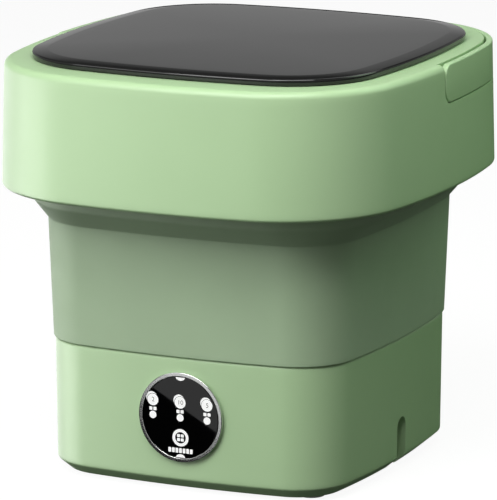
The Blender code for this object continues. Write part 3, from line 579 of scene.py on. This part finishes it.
def arc_points(path, front):
    """Points (x, y, outward direction, length so far) along an outline's rear, denser at both ends."""
    path = sorted(path, key=lambda point: math.atan2(point[1] + 0.03, point[0]))
    lengths = [0.0]
    for before, after in zip(path, path[1:]):
        lengths.append(lengths[-1] + math.dist(before, after))

    def at(length):
        """The point at a length along the path, with its outward direction."""
        length = min(max(length, 0.0), lengths[-1])
        index = min(max(i for i, value in enumerate(lengths) if value <= length), len(path) - 2)
        span = lengths[index + 1] - lengths[index]
        share = (length - lengths[index]) / span
        a, b = path[index], path[index + 1]
        along = Vector((b[0] - a[0], b[1] - a[1])).normalized()
        return a[0] + (b[0] - a[0]) * share, a[1] + (b[1] - a[1]) * share, (along.y, -along.x)

    start = next(length for length, point in zip(lengths, path) if point[1] >= front)
    start -= at(start)[1] - front
    stop = lengths[-1] - start
    turn = [HANDLE_CORNER * (1 - math.cos(math.radians(a))) for a in range(30, 91, 6)]
    ends = [0.0, 0.00015, 0.0004] + turn
    steps = 140
    run = [ends[-1] + (stop - start - 2 * ends[-1]) * i / steps for i in range(1, steps)]
    stations = ends + run + [stop - start - value for value in reversed(ends)]
    return [(*at(start + value), value) for value in stations]


# ---------------------------------------------------------------- folding wall
def make_wall():
    """The soft wall from its foot on the basin to its flange under the deck, lofted in one piece and baked in
    place.
    """
    low, high, reach = WALL_LOW.z, WALL_HIGH.z, WALL_HIGH.x
    skin = 0.0024
    lip = BASE_HIGH.z + 0.0002
    foot, straight, flared = WALL_PLAN[0], WALL_PLAN[0] + 0.0030, LID_PLAN[0] + 0.0003
    inner, step = foot - 0.0085, foot - 0.0012
    flare_low, flare_high = 0.1655, 0.1775
    profile = [(inner, low, 0.0004), (step, low, 0.0003), (step, lip, 0.0003), (foot, lip, 0.0005),
               (foot + 0.0002, low + 0.003, 0.0040), (straight, flare_low, 0.0020),
               (flared, flare_high, 0.0040), (flared, high - skin, 0.0006), (reach, high - skin, 0.0004),
               (reach, high, 0.0004),
               (flared - skin, high, 0.0008), (flared - skin, flare_high + 0.0010, 0.0040),
               (straight - skin, flare_low + 0.0010, 0.0040), (foot - skin, low + skin, 0.0012),
               (inner, low + skin, 0.0004)]
    wall = loft("soft_wall", dense(rounded(profile), 0.0030), wall_plan, SOFT_GREEN)
    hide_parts("folding_wall")
    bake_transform(wall)


def make_clamp_rings():
    """The rings that hold the wall's foot and its top flange."""
    low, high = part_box("lower_clamp_ring")
    outer, inner = WALL_PLAN[0] - 0.0028, WALL_PLAN[0] - 0.0112
    profile = [(outer, low.z, 0.0003), (outer, high.z, 0.0004), (inner, high.z, 0.0009),
               (inner, low.z, 0.0004)]
    ring = loft("tub_ring", rounded(profile), base_plan, WHITE)
    show(ring, "base", "white_plastic", "lower_clamp_ring")
    low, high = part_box("upper_clamp_ring")
    inner, edge = LID_PLAN[0] + 0.0009, 0.0003
    profile = [(inner, low.z, edge), (high.x, low.z, edge), (high.x, high.z, edge), (inner, high.z, edge)]
    ring = loft("flange_ring", rounded(profile), lid_plan, WHITE)
    show(ring, "rim", "white_plastic", "upper_clamp_ring")


# ---------------------------------------------------------------- base
def make_base():
    """The base's shell: a curved lower edge, a top flange, the drain slot, and holes for panel and inlet."""
    top, bottom = BASE_HIGH.z, BASE_LOW.z
    skin = 0.0026
    half_top = WALL_PLAN[0] - BASE_DRAFT
    half_low = half_top - 0.0009
    flange, flange_low = half_top - 0.0084, top - 0.0022
    inner, elbow, ledge = half_low - 0.0103, half_low - 0.0088, bottom + 0.0022
    profile = [(half_low - 0.0078, bottom, 0.0008), (half_low, bottom + 0.0066, 0.0022),
               (half_top, top, 0.0022), (flange, top, 0.0004), (flange, flange_low, 0.0004),
               (half_top - skin, flange_low, 0.0008),
               (half_low - skin, bottom + 0.0078, 0.0020), (elbow, ledge, 0.0008), (inner, ledge, 0.0003),
               (inner, bottom, 0.0004)]
    base = loft("base_shell", dense(rounded(profile), 0.0030), base_plan, GREEN)

    # The slot's own walls, kept within the shell's outside, and then the slot itself.
    half = SLOT_WIDTH / 2
    arch = [(half * math.cos(math.radians(a)), half * math.sin(math.radians(a))) for a in range(0, 181, 10)]
    grow = (half + SLOT_SKIN) / half
    centre_z = SLOT_TOP - half
    channel = [(DRAIN_Y - half * grow, bottom), (DRAIN_Y + half * grow, bottom)]
    channel += [(DRAIN_Y + y * grow, centre_z + z * grow) for y, z in arch]
    joined = side_prism(channel, SLOT_BACK - SLOT_SKIN, WALL_PLAN[0])
    within = half_low - 0.0012
    core = [(elbow, bottom + 0.0008), (within, bottom + 0.0072, 0.0020), (within, 0.06)]
    limit = loft("limit", rounded(core, closed=False), base_plan, GREEN, capped=True)
    combine(joined, [limit], "INTERSECT")
    combine(base, [joined], "UNION")
    hollow = [(DRAIN_Y - half, bottom - 0.01), (DRAIN_Y + half, bottom - 0.01)]
    hollow += [(DRAIN_Y + y, centre_z + z) for y, z in arch]
    spigot_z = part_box("drain_pipe")[0].z + 0.0050
    inlet = middle_of("dc_socket")
    spigot_hole, panel_hole, inlet_hole = 0.0053, 0.0283, 0.0051
    cutters = [side_prism(hollow, SLOT_BACK, WALL_PLAN[0] + 0.01),
               cutter_cylinder(spigot_hole, 0.080, 0.095, (0.0, DRAIN_Y, spigot_z), "+X"),
               cutter_cylinder(panel_hole, 0.100, 0.120, (PANEL_X, 0.0, PANEL_Z), "-Y", ROUND_STEPS),
               cutter_cylinder(inlet_hole, 0.100, 0.115, (inlet.x, 0.0, inlet.z), "+Y")]
    combine(base, cutters)
    show(base, "base", "green_plastic", "base_housing")


def make_panel():
    """The round touch panel: a polished ring, black glass and the printed fields.

    An extra point beside each rounded edge keeps the faces flat under smooth shading, so they mirror truly.
    """
    front, back = PANEL_FRONT, -BEZEL_HIGH.y
    centre = (PANEL_X, 0.0, PANEL_Z)
    outer = (BEZEL_HIGH.x - BEZEL_LOW.x) / 2
    glass_low, glass_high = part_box("panel_glass")
    glass_r = (glass_high.x - glass_low.x) / 2
    inner, neck, opening = glass_r + 0.0002, outer - 0.0010, 0.0240
    flange, seat, glass_back = front - 0.0015, 0.1072, 0.1075
    profile = [(inner, front, 0.0002), (inner + 0.0004, front), (outer - 0.0006, front),
               (outer, front, 0.0004), (outer, flange, 0.0002), (neck, flange), (neck, back), (opening, back),
               (opening, seat), (inner, seat)]
    show(turned("panel_ring", rounded(profile), SILVER, centre, "-Y"), "base", "silver_trim", "panel_bezel")
    face = -glass_low.y
    profile = [(0.0, face), (glass_r - 0.0006, face), (glass_r, face, 0.0003), (glass_r, glass_back),
               (0.0, glass_back)]
    glass = turned("panel_disc", rounded(profile, closed=False), GLASS, centre, "-Y")
    show(glass, "base", "panel_black", "panel_glass")
    make_prints(face)


def print_shape(name, points, face):
    """A printed field on the glass from its outline, x to the right and z up from the panel's middle."""
    proud = 0.00006
    corners = [(PANEL_X + x, -face + PRINT_ROOT, PANEL_Z + z) for x, z in points]
    # The print's material carries a faint painted glow.
    show(prism(name, corners, (0.0, -PRINT_ROOT - proud, 0.0), GLOWING_PRINT), "base", "white_plastic")


def disc(x, z, radius, start=0, stop=360, steps=40):
    """Points round a disc, or along its arc from one angle to another, in degrees."""
    count = steps if stop - start == 360 else steps + 1
    angles = [math.radians(start + (stop - start) * i / steps) for i in range(count)]
    return [(x + radius * math.cos(a), z + radius * math.sin(a)) for a in angles]


def crescent(x, z, outer, inner, start, stop, steps=24):
    """Points of an open ring between two angles."""
    return disc(x, z, outer, start, stop, steps) + disc(x, z, inner, stop, start, steps)


def lune(x, z, shift, radius, cleared):
    """Points of the part of a shifted disc that shows from behind a disc with a cleared margin."""
    away = math.hypot(*shift)
    lean = math.degrees(math.atan2(shift[1], shift[0]))
    outer = math.degrees(math.acos((cleared ** 2 - away ** 2 - radius ** 2) / (2 * away * radius)))
    inner = math.degrees(math.acos((away ** 2 + cleared ** 2 - radius ** 2) / (2 * away * cleared)))
    back = disc(x + shift[0], z + shift[1], radius, lean - outer, lean + outer, 24)
    return back + disc(x, z, cleared, lean + inner, lean - inner, 24)


def bar(x, z, width, height):
    """Points of a rounded bar."""
    w, h = width / 2, height / 2
    radius = min(w, h) * 0.4
    corners = [(x - w, z - h, radius), (x + w, z - h, radius), (x + w, z + h, radius), (x - w, z + h, radius)]
    return rounded(corners)


def make_digit(text, x, z, size, face):
    """Generic minute numbers on the programme fields, just proud of them."""
    thickness, lift = 0.00003, 0.00008
    curve = bpy.data.curves.new(f"minutes_{text}", "FONT")
    curve.body = text
    curve.size = size
    curve.align_x = "CENTER"
    curve.align_y = "CENTER"
    curve.extrude = thickness
    holder = bpy.data.objects.new(f"minutes_{text}", curve)
    bpy.context.scene.collection.objects.link(holder)
    mesh = bpy.data.meshes.new_from_object(holder.evaluated_get(bpy.context.evaluated_depsgraph_get()))
    bpy.data.objects.remove(holder)
    for vert in mesh.vertices:
        u, v, w = vert.co
        vert.co = (PANEL_X + x + u, -face - lift - w, PANEL_Z + z + v)
    made = finish_object(f"minutes_{text}", mesh, DIGIT)
    show(made, "base", "black_plastic")


def make_prints(face):
    """Programme fields with minutes, labels and lamps, the start key, a row of dashes, and two edge marks."""
    fields = (("2", -0.0192, 0.0098), ("10", -0.0002, 0.0096), ("5", 0.0185, 0.0096))
    field_r, lamp_r, label = 0.0038, 0.0024, 0.0022
    for text, x, z in fields:
        print_shape(f"field_{text}", disc(x, z, field_r), face)
        print_shape(f"field_back_{text}", lune(x, z, (-0.0008, 0.0014), field_r, 0.0041), face)
        make_digit(text, x + 0.0002, z, 0.0042, face)
        for side in (-1, 1):
            print_shape(f"label_{text}_{side + 1}", bar(x + side * 0.0014, z - 0.0058, label, label), face)
        print_shape(f"lamp_{text}", disc(x, z - 0.0098, lamp_r), face)
    key_z, ring_outer, ring_inner, block_step = -0.0131, 0.0056, 0.0037, 0.0013
    print_shape("start_ring", crescent(0.0, key_z, ring_outer, ring_inner, 0, 359.9, 60), face)
    for column in (-1, 1):
        for row in (-1, 1):
            place = (column * block_step, key_z + row * block_step)
            print_shape(f"start_block_{column + 1}_{row + 1}", bar(*place, 0.0021, 0.0020), face)
    dashes, dash_step, dash_z = 7, 0.0025, -0.0214
    for i in range(dashes):
        x = (i - (dashes - 1) / 2) * dash_step
        print_shape(f"dash_{i + 1}", bar(x, dash_z, 0.0019, 0.0031), face)
    reach, mark_r, wide = 0.0259, 0.0021, 1.5
    for name, side, start in (("mark_top", 1, 180), ("mark_bottom", -1, 0)):
        half_disc = disc(0.0, side * reach, mark_r, start, start + 180, 24)
        print_shape(name, [(x * wide, z) for x, z in half_disc], face)


def make_feet():
    """Four rubber feet with a groove round the sole."""
    for i in range(1, 5):
        low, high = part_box(f"foot_{i}")
        middle = (low + high) / 2
        radius = (high.x - low.x) / 2
        neck, barb, groove = 0.0030, 0.0042, 0.0006
        under, over = PLATE_LOW.z - 0.0003, PLATE_LOW.z + 0.0028
        profile = [(0.0, high.z), (neck, high.z, 0.0004), (barb, high.z - 0.0009, 0.0003), (barb, over),
                   (neck, over), (neck, under), (radius, under, 0.0004), (radius, 0.0, 0.0007),
                   (radius * 0.80, 0.0, 0.0002), (radius * 0.77, groove, 0.0002),
                   (radius * 0.68, groove, 0.0002), (radius * 0.65, 0.0, 0.0002), (0.0, 0.0)]
        profile, place = rounded(profile, closed=False), (middle.x, middle.y, 0.0)
        foot = turned(f"rubber_foot_{i}", profile, GREY_RUBBER, place, steps=48)
        show(foot, "base", "grey_rubber", f"foot_{i}")


def make_bottom_plate():
    """The plate under the base, with its holes, board guides and rows of vents under the motor."""
    half = PLATE_HIGH.x
    top = PLATE_LOW.z + 0.0025
    middle = half - 0.0200
    profile = [(middle, PLATE_LOW.z), (half, PLATE_LOW.z, 0.0005), (half, top, 0.0004), (middle, top)]
    plate = loft("base_plate", rounded(profile, closed=False), base_plan, BLACK, capped=True)
    board_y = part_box("control_board")[0].y + 0.0008
    guides, guide_x, gap, half_x, half_y = [], 0.028, 0.0028, 0.003, 0.0015
    for side in (-1, 1):
        for step in (-1, 1):
            x, y = side * guide_x, board_y + step * gap
            low = (x - half_x, y - half_y, top - 0.0005)
            guides.append(box("guide", low, (x + half_x, y + half_y, PLATE_HIGH.z), BLACK, 0.0004))
    combine(plate, guides, "UNION")
    cutters, foot_hole = [], 0.0033
    for i in range(1, 5):
        foot, screw = middle_of(f"foot_{i}"), middle_of(f"plate_screw_{i}")
        cutters.append(cutter_cylinder(foot_hole, 0.0, 0.01, (foot.x, foot.y, 0.0), steps=24))
        cutters.append(cutter_cylinder(SCREW_HOLE, 0.0, 0.01, (screw.x, screw.y, 0.0), steps=24))
    notch = SLOT_WIDTH / 2 + SLOT_SKIN + 0.0005
    low = (SLOT_BACK - SLOT_SKIN - 0.0006, DRAIN_Y - notch, 0.0)
    cutters.append(box("notch", low, (0.12, DRAIN_Y + notch, 0.01), BLACK))
    wide, long = 0.0011, 0.010  # half of a vent's width and length
    for row in range(-3, 4):
        for side in (-1, 1):
            x, y = row * 0.0060, side * 0.030
            cutters.append(box("vent", (x - wide, y - long, 0.0), (x + wide, y + long, 0.01), BLACK, 0.0010))
    combine(plate, cutters)
    show(plate, "base", "black_plastic", "bottom_plate")


def make_dc_socket():
    """The power inlet: a collar, a barrel with its bore and the centre pin."""
    low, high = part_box("dc_socket")
    middle, face = (low + high) / 2, high.y
    pin_r, bore, barrel, collar = 0.0010, 0.0031, 0.0048, 0.0065
    tip, floor, under = face - 0.0020, face - 0.0100, face - 0.0012
    pin = [(0.0, tip), (pin_r, tip, 0.0004), (pin_r, floor), (bore, floor)]
    shell = [(bore, face, 0.0004), (collar, face, 0.0005), (collar, under, 0.0002), (barrel, under),
             (barrel, low.y, 0.0004), (0.0, low.y)]
    profile = rounded(pin + shell, closed=False)
    socket = turned("inlet_socket", profile, BLACK, (middle.x, 0.0, middle.z), "+Y", 64)
    show(socket, "base", "black_plastic", "dc_socket")


# ---------------------------------------------------------------- inside the tub
def make_basin():
    """The tub's rigid bottom, with its hub, bosses and drain hole."""
    foot, flange = WALL_PLAN[0], WALL_PLAN[0] - 0.0014
    floor, skin = 0.0637, 0.0022
    under, seat = floor - skin, BASE_HIGH.z + 0.0003
    middle = foot - 0.0300
    profile = [(middle, under), (foot - 0.0200, under, 0.0090), (foot - 0.0112, 0.0760, 0.0080),
               (foot - 0.0108, seat, 0.0004), (flange, seat, 0.0003), (flange, BASIN_TOP, 0.0004),
               (foot - 0.0130, BASIN_TOP, 0.0012), (foot - 0.0138, 0.0770, 0.0100),
               (foot - 0.0225, floor, 0.0110), (middle, floor)]
    profile = dense(rounded(profile, closed=False), 0.0060, closed=False)
    basin = loft("tub_basin", profile, base_plan, WHITE, capped=True)
    hub, shaft_hole, drain_hole = 0.0130, 0.0090, 0.0040
    long_boss, short_boss = middle_of("plate_screw_1"), middle_of("bracket_screw_1")
    long_foot, short_foot = 0.0050, 0.0586
    joined = [cutter_cylinder(hub, short_foot, 0.0680, (0.0, 0.0, 0.0))]
    for boss, start in ((long_boss, long_foot), (short_boss, short_foot)):
        for x, y in around((boss.x, boss.y)):
            joined.append(cutter_cylinder(BOSS_RADIUS, start, under + 0.001, (x, y, 0.0), steps=32))
    combine(basin, joined, "UNION")
    strainer = middle_of("drain_strainer")
    cutters = [cutter_cylinder(shaft_hole, 0.050, 0.080, (0.0, 0.0, 0.0)),
               cutter_cylinder(drain_hole, 0.050, 0.070, (strainer.x, strainer.y, 0.0))]
    for boss, start, stop in ((long_boss, 0.0, 0.0180), (short_boss, 0.050, under)):
        for x, y in around((boss.x, boss.y)):
            cutters.append(cutter_cylinder(SCREW_HOLE, start, stop, (x, y, 0.0), steps=20))
    combine(basin, cutters)
    show(basin, "base", "white_plastic", "wash_basin")


def make_pulsator():
    """The ribbed disc in the tub's floor, with its water holes, and the cap over its screw."""
    rim_r, rim_low, top, cap_r = 0.0600, 0.0670, 0.0812, 0.0040
    hub_low, socket_r, socket_top = 0.0695, 0.0043, 0.0764
    screw_r, screw_seat = 0.0017, 0.0790
    profile = [(cap_r, top, 0.0003), (0.0092, top, 0.0020), (0.0230, 0.0752, 0.0100),
               (0.0400, 0.0713, 0.0100), (rim_r, 0.0708, 0.0012), (rim_r, rim_low, 0.0010),
               (rim_r - 0.0025, rim_low, 0.0008),
               (rim_r - 0.0030, 0.0684, 0.0006), (0.0340, 0.0692, 0.0040), (0.0200, 0.0718, 0.0030),
               (0.0160, 0.0718, 0.0006), (0.0150, hub_low), (socket_r, hub_low), (socket_r, socket_top),
               (screw_r, socket_top), (screw_r, screw_seat), (cap_r, screw_seat)]
    disc_piece = turned("pulsator_disc", rounded(profile), WHITE)
    vane_size, vane_place = (0.0225, 0.0055, 0.0125), (0.0335, 0.0, 0.0702)
    vanes = []
    for i in range(4):
        angle = math.radians(45 + 90 * i)
        cos, sin = math.cos(angle), math.sin(angle)
        bm = bmesh.new()
        bmesh.ops.create_uvsphere(bm, u_segments=40, v_segments=24, radius=1.0)
        for vert in bm.verts:
            vert.co.z = max(vert.co.z, -0.01)
        bmesh.ops.scale(bm, vec=vane_size, verts=bm.verts)
        bmesh.ops.translate(bm, vec=vane_place, verts=bm.verts)
        for vert in bm.verts:
            x, y, z = vert.co
            vert.co = (x * cos - y * sin, x * sin + y * cos, z)
        vanes.append(finish_mesh("vane", bm, WHITE))
    combine(disc_piece, vanes, "UNION")
    hole_circle, hole_r = 0.050, 0.0025
    holes = []
    for i in range(8):
        angle = math.radians(22.5 + 45 * i)
        place = (hole_circle * math.cos(angle), hole_circle * math.sin(angle), 0.0)
        holes.append(cutter_cylinder(hole_r, 0.06, 0.08, place, steps=32))
    combine(disc_piece, holes)
    show(disc_piece, "pulsator_drive", "white_plastic", "pulsator")
    low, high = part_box("pulsator_cap")
    profile = [(0.0, high.z), (0.0035, high.z, 0.0020), (high.x, high.z - 0.0016, 0.0010),
               (high.x, low.z, 0.0003), (0.0, low.z)]
    cap = turned("pulsator_button", rounded(profile, closed=False), WHITE)
    show(cap, "pulsator_drive", "white_plastic", "pulsator_cap")


# ---------------------------------------------------------------- lid
def make_lid():
    """The smoked lid with its sloped band, the frame with its skirt, and the seal."""
    half, low, high = LID_PLAN[0], LID_LOW.z, LID_EDGE
    skin, crown, rings = 0.0020, LID_HIGH.z - LID_EDGE, 12
    band = half - LID_BAND
    edge = [(band, high - skin, 0.0020), (half - 0.0024, high - 0.0031, 0.0004), (half - 0.0022, low, 0.0003),
            (half, low, 0.0006), (half, high - 0.0010, 0.0012), (band, high, 0.0030)]
    # The crown rises as a parabola from the band to the middle; a share is 0 at the band and 1 at the middle.
    middle = half * LID_CENTRE
    top = [(band + (middle - half + LID_BAND) * i / rings, i / rings) for i in range(1, rings + 1)]
    above = [(place, high + crown * share * (2 - share)) for place, share in top]
    below = [(place, high - skin + crown * share * (2 - share)) for place, share in reversed(top)]
    edge = rounded([below[-1]] + edge + [above[0]], closed=False)[1:-1]
    panel = loft("lid_top", below + edge + above, lid_plan, SMOKE, capped=True)
    show(panel, "lid", "smoked_plastic", "lid_panel")
    inner, skirt, outer = half - 0.0105, half - 0.0080, half - 0.0030
    top, ledge, bottom = FRAME_HIGH.z, RIM_HIGH.z + 0.0003, FRAME_LOW.z
    profile = [(outer, ledge, 0.0003), (outer, top, 0.0003), (inner, top, 0.0003), (inner, bottom, 0.0008),
               (skirt, bottom, 0.0008), (skirt, ledge, 0.0003)]
    show(loft("lid_skirt", rounded(profile), lid_plan, BLACK), "lid", "black_plastic", "lid_frame")
    low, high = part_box("lid_seal")
    root, taper = skirt + 0.0003, 0.0009
    profile = [(root, low.z, 0.0002), (high.x, low.z + taper, 0.0006), (high.x, high.z - taper, 0.0006),
               (root, high.z, 0.0002)]
    show(loft("lid_gasket", rounded(profile), lid_plan, GREY_RUBBER), "lid", "grey_rubber", "lid_seal")


# ---------------------------------------------------------------- CAD nodes that stay as they are
def dress_cad_nodes():
    """Give the CAD nodes that stay visible their finished materials."""
    looks = {"motor": STEEL, "gearbox": BLACK, "motor_bracket": STEEL, "shaft_bearing": STEEL,
             "shaft_seal": GREY_RUBBER, "drive_shaft": STEEL, "pulsator_screw": STEEL, "control_board": BOARD,
             "touch_board": BOARD, "drain_pipe": WHITE, "drain_strainer": WHITE, "pivot_pin_right": STEEL,
             "pivot_pin_left": STEEL}
    for group in ("plate_screw", "bracket_screw", "gearbox_screw", "clamp_screw", "rim_screw"):
        for i in range(1, 5):
            looks[f"{group}_{i}"] = STEEL
    for name, material in looks.items():
        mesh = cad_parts[name].data
        mesh.materials.clear()
        mesh.materials.append(material)


make_rim()
make_handle()
make_wall()
make_clamp_rings()
make_base()
make_panel()
make_feet()
make_bottom_plate()
make_dc_socket()
make_basin()
make_pulsator()
make_lid()
dress_cad_nodes()


# ---------------------------------------------------------------- studio
MIDDLE = Vector((0.0, 0.0, 0.15))
BOUNCE = (0.72, 1.0, 0.70)  # the green tint of the fill from the right rear


def heading(azimuth, elevation):
    """A direction: azimuth 0 is the front, 90 the right side; both in degrees."""
    turn, rise = math.radians(azimuth), math.radians(elevation)
    return Vector((math.sin(turn) * math.cos(rise), -math.cos(turn) * math.cos(rise), math.sin(rise)))


def soft_box(name, azimuth, elevation, power, size=1.1, distance=2.0, colour=(1.0, 1.0, 1.0), kind="both"):
    """A square area light facing the washer; "soft" gives no mirror image and "sheen" gives nothing else."""
    away = heading(azimuth, elevation)
    light = bpy.data.lights.new(name, "AREA")
    light.shape = "SQUARE"
    light.size = size
    light.energy = power
    light.color = colour
    lamp = bpy.data.objects.new(name, light)
    lamp.location = MIDDLE + away * distance
    lamp.rotation_euler = (-away).to_track_quat("-Z", "Y").to_euler()
    lamp.visible_camera = False
    lamp.visible_diffuse = kind != "sheen"
    lamp.visible_glossy = kind != "soft"
    bpy.context.scene.collection.objects.link(lamp)
    return lamp


def make_floor():
    """A pale floor: mostly self-lit, so that it stays white, with a soft trace of shadow."""
    bm = bmesh.new()
    bmesh.ops.create_grid(bm, x_segments=1, y_segments=1, size=6.0)
    material = glow(new_material("floor", (0.10, 0.10, 0.10), 1.0, specular=0.0), 0.93)
    floor = finish_mesh("floor", bm, material)
    floor.visible_diffuse = False
    floor.visible_glossy = False
    floor.visible_transmission = False
    floor.visible_shadow = False


def make_world():
    """A studio surround: a pale band above the horizon, a weak green glow from below, dark elsewhere."""
    world = bpy.data.worlds.new("studio")
    bpy.context.scene.world = world
    world.use_nodes = True
    nodes, links = world.node_tree.nodes, world.node_tree.links
    place = nodes.new("ShaderNodeTexCoord")
    split = nodes.new("ShaderNodeSeparateXYZ")
    level = nodes.new("ShaderNodeMapRange")
    level.inputs["From Min"].default_value = -1.0
    ramp = nodes.new("ShaderNodeValToRGB")
    # The height of a direction above the horizon, from -1 to 1, and its colour.
    stops = ((-0.45, (0.036, 0.050, 0.034)), (-0.30, (0.0, 0.0, 0.0)), (-0.02, (0.0, 0.0, 0.0)),
             (0.0, (0.52, 0.52, 0.52)), (0.32, (0.16, 0.16, 0.16)), (0.42, (0.0, 0.0, 0.0)))
    while len(ramp.color_ramp.elements) < len(stops):
        ramp.color_ramp.elements.new(0.5)
    for element, (height, colour) in zip(ramp.color_ramp.elements, stops):
        element.position = (height + 1.0) / 2.0
        element.color = (*colour, 1.0)
    links.new(place.outputs["Generated"], split.inputs["Vector"])
    links.new(split.outputs["Z"], level.inputs["Value"])
    links.new(level.outputs["Result"], ramp.inputs["Fac"])
    links.new(ramp.outputs["Color"], nodes["Background"].inputs["Color"])


def make_camera():
    """A long lens at the photograph's viewing angle."""
    azimuth, elevation, distance = math.radians(25.0), math.radians(12.26), 3.1776
    target = Vector((0.0, 0.0, 0.1417))
    flat = math.cos(elevation) * distance
    away = Vector((math.sin(azimuth) * flat, -math.cos(azimuth) * flat, math.sin(elevation) * distance))
    lens = bpy.data.cameras.new("camera")
    lens.lens = 355.2
    lens.sensor_width = 36.0
    lens.shift_x = -0.0053
    lens.shift_y = -0.0206
    lens.clip_end = 50.0
    camera = bpy.data.objects.new("camera", lens)
    camera.location = target + away
    camera.rotation_euler = (-away).to_track_quat("-Z", "Y").to_euler()
    bpy.context.scene.collection.objects.link(camera)
    bpy.context.scene.camera = camera
    return camera


def make_glare_card(camera):
    """A reflector card that the panel mirrors: its straight edge runs across the glass as a diagonal."""
    face, width, reach = -PANEL_FRONT, 0.16, 0.32
    mirrored = Vector((camera.location.x, 2 * face - camera.location.y, camera.location.z))
    # The edge's ends on the glass, x to the right and z up from the panel's middle.
    left, right = Vector((-0.0220, 0.0190)), Vector((0.0248, -0.0069))
    along = right - left
    across = Vector((-along.y, along.x)).normalized() * width
    corners = [left - along, right + along, right + along + across, left - along + across]
    bm = bmesh.new()
    verts = []
    for x, z in corners:
        seen = Vector((PANEL_X + x, face, PANEL_Z + z))
        verts.append(bm.verts.new(seen + (seen - mirrored) * reach))
    bm.faces.new(verts)
    card = finish_mesh("card", bm, glow(new_material("card", (0.0, 0.0, 0.0), 0.5), 0.75))
    card.visible_camera = False
    card.visible_diffuse = False
    card.visible_shadow = False


def make_lights():
    """High front boxes, a soft key at the left, fills at the right and the back, and low boxes for the sheen.

    The panel and the lid are spared the sheen boxes, whose hard images would wash them out.
    """
    spared = bpy.data.collections.new("spared")
    for name in ("panel_ring", "panel_disc", "lid_top"):
        spared.objects.link(bpy.data.objects[name])
    for item in spared.collection_objects:
        item.light_linking.link_state = "EXCLUDE"
    soft_box("front_high", -10, 45, 24.0)
    soft_box("front_left", -28, 25, 8.0)
    soft_box("key_left", -85, 12, 10.0, kind="soft")
    soft_box("key_front_left", -60, 12, 3.6, kind="soft")
    soft_box("right_high", 32, 58, 4.6, 0.5, 0.95)
    soft_box("right_rear", 120, 38, 2.1, 0.5, 0.9, BOUNCE)
    soft_box("rear_high", 175, 50, 4.0)
    soft_box("front_low", -15, -4, 0.35, 0.5, 0.9, kind="soft")
    for azimuth, power in ((-130, 7.5), (-100, 8.0), (-72, 17.0), (-48, 11.0)):
        sheen = soft_box(f"sheen_{-azimuth}", azimuth, -12, power, kind="sheen")
        sheen.light_linking.receiver_collection = spared


make_floor()
make_world()
make_glare_card(make_camera())
make_lights()
bpy.context.scene.view_settings.view_transform = "Standard"
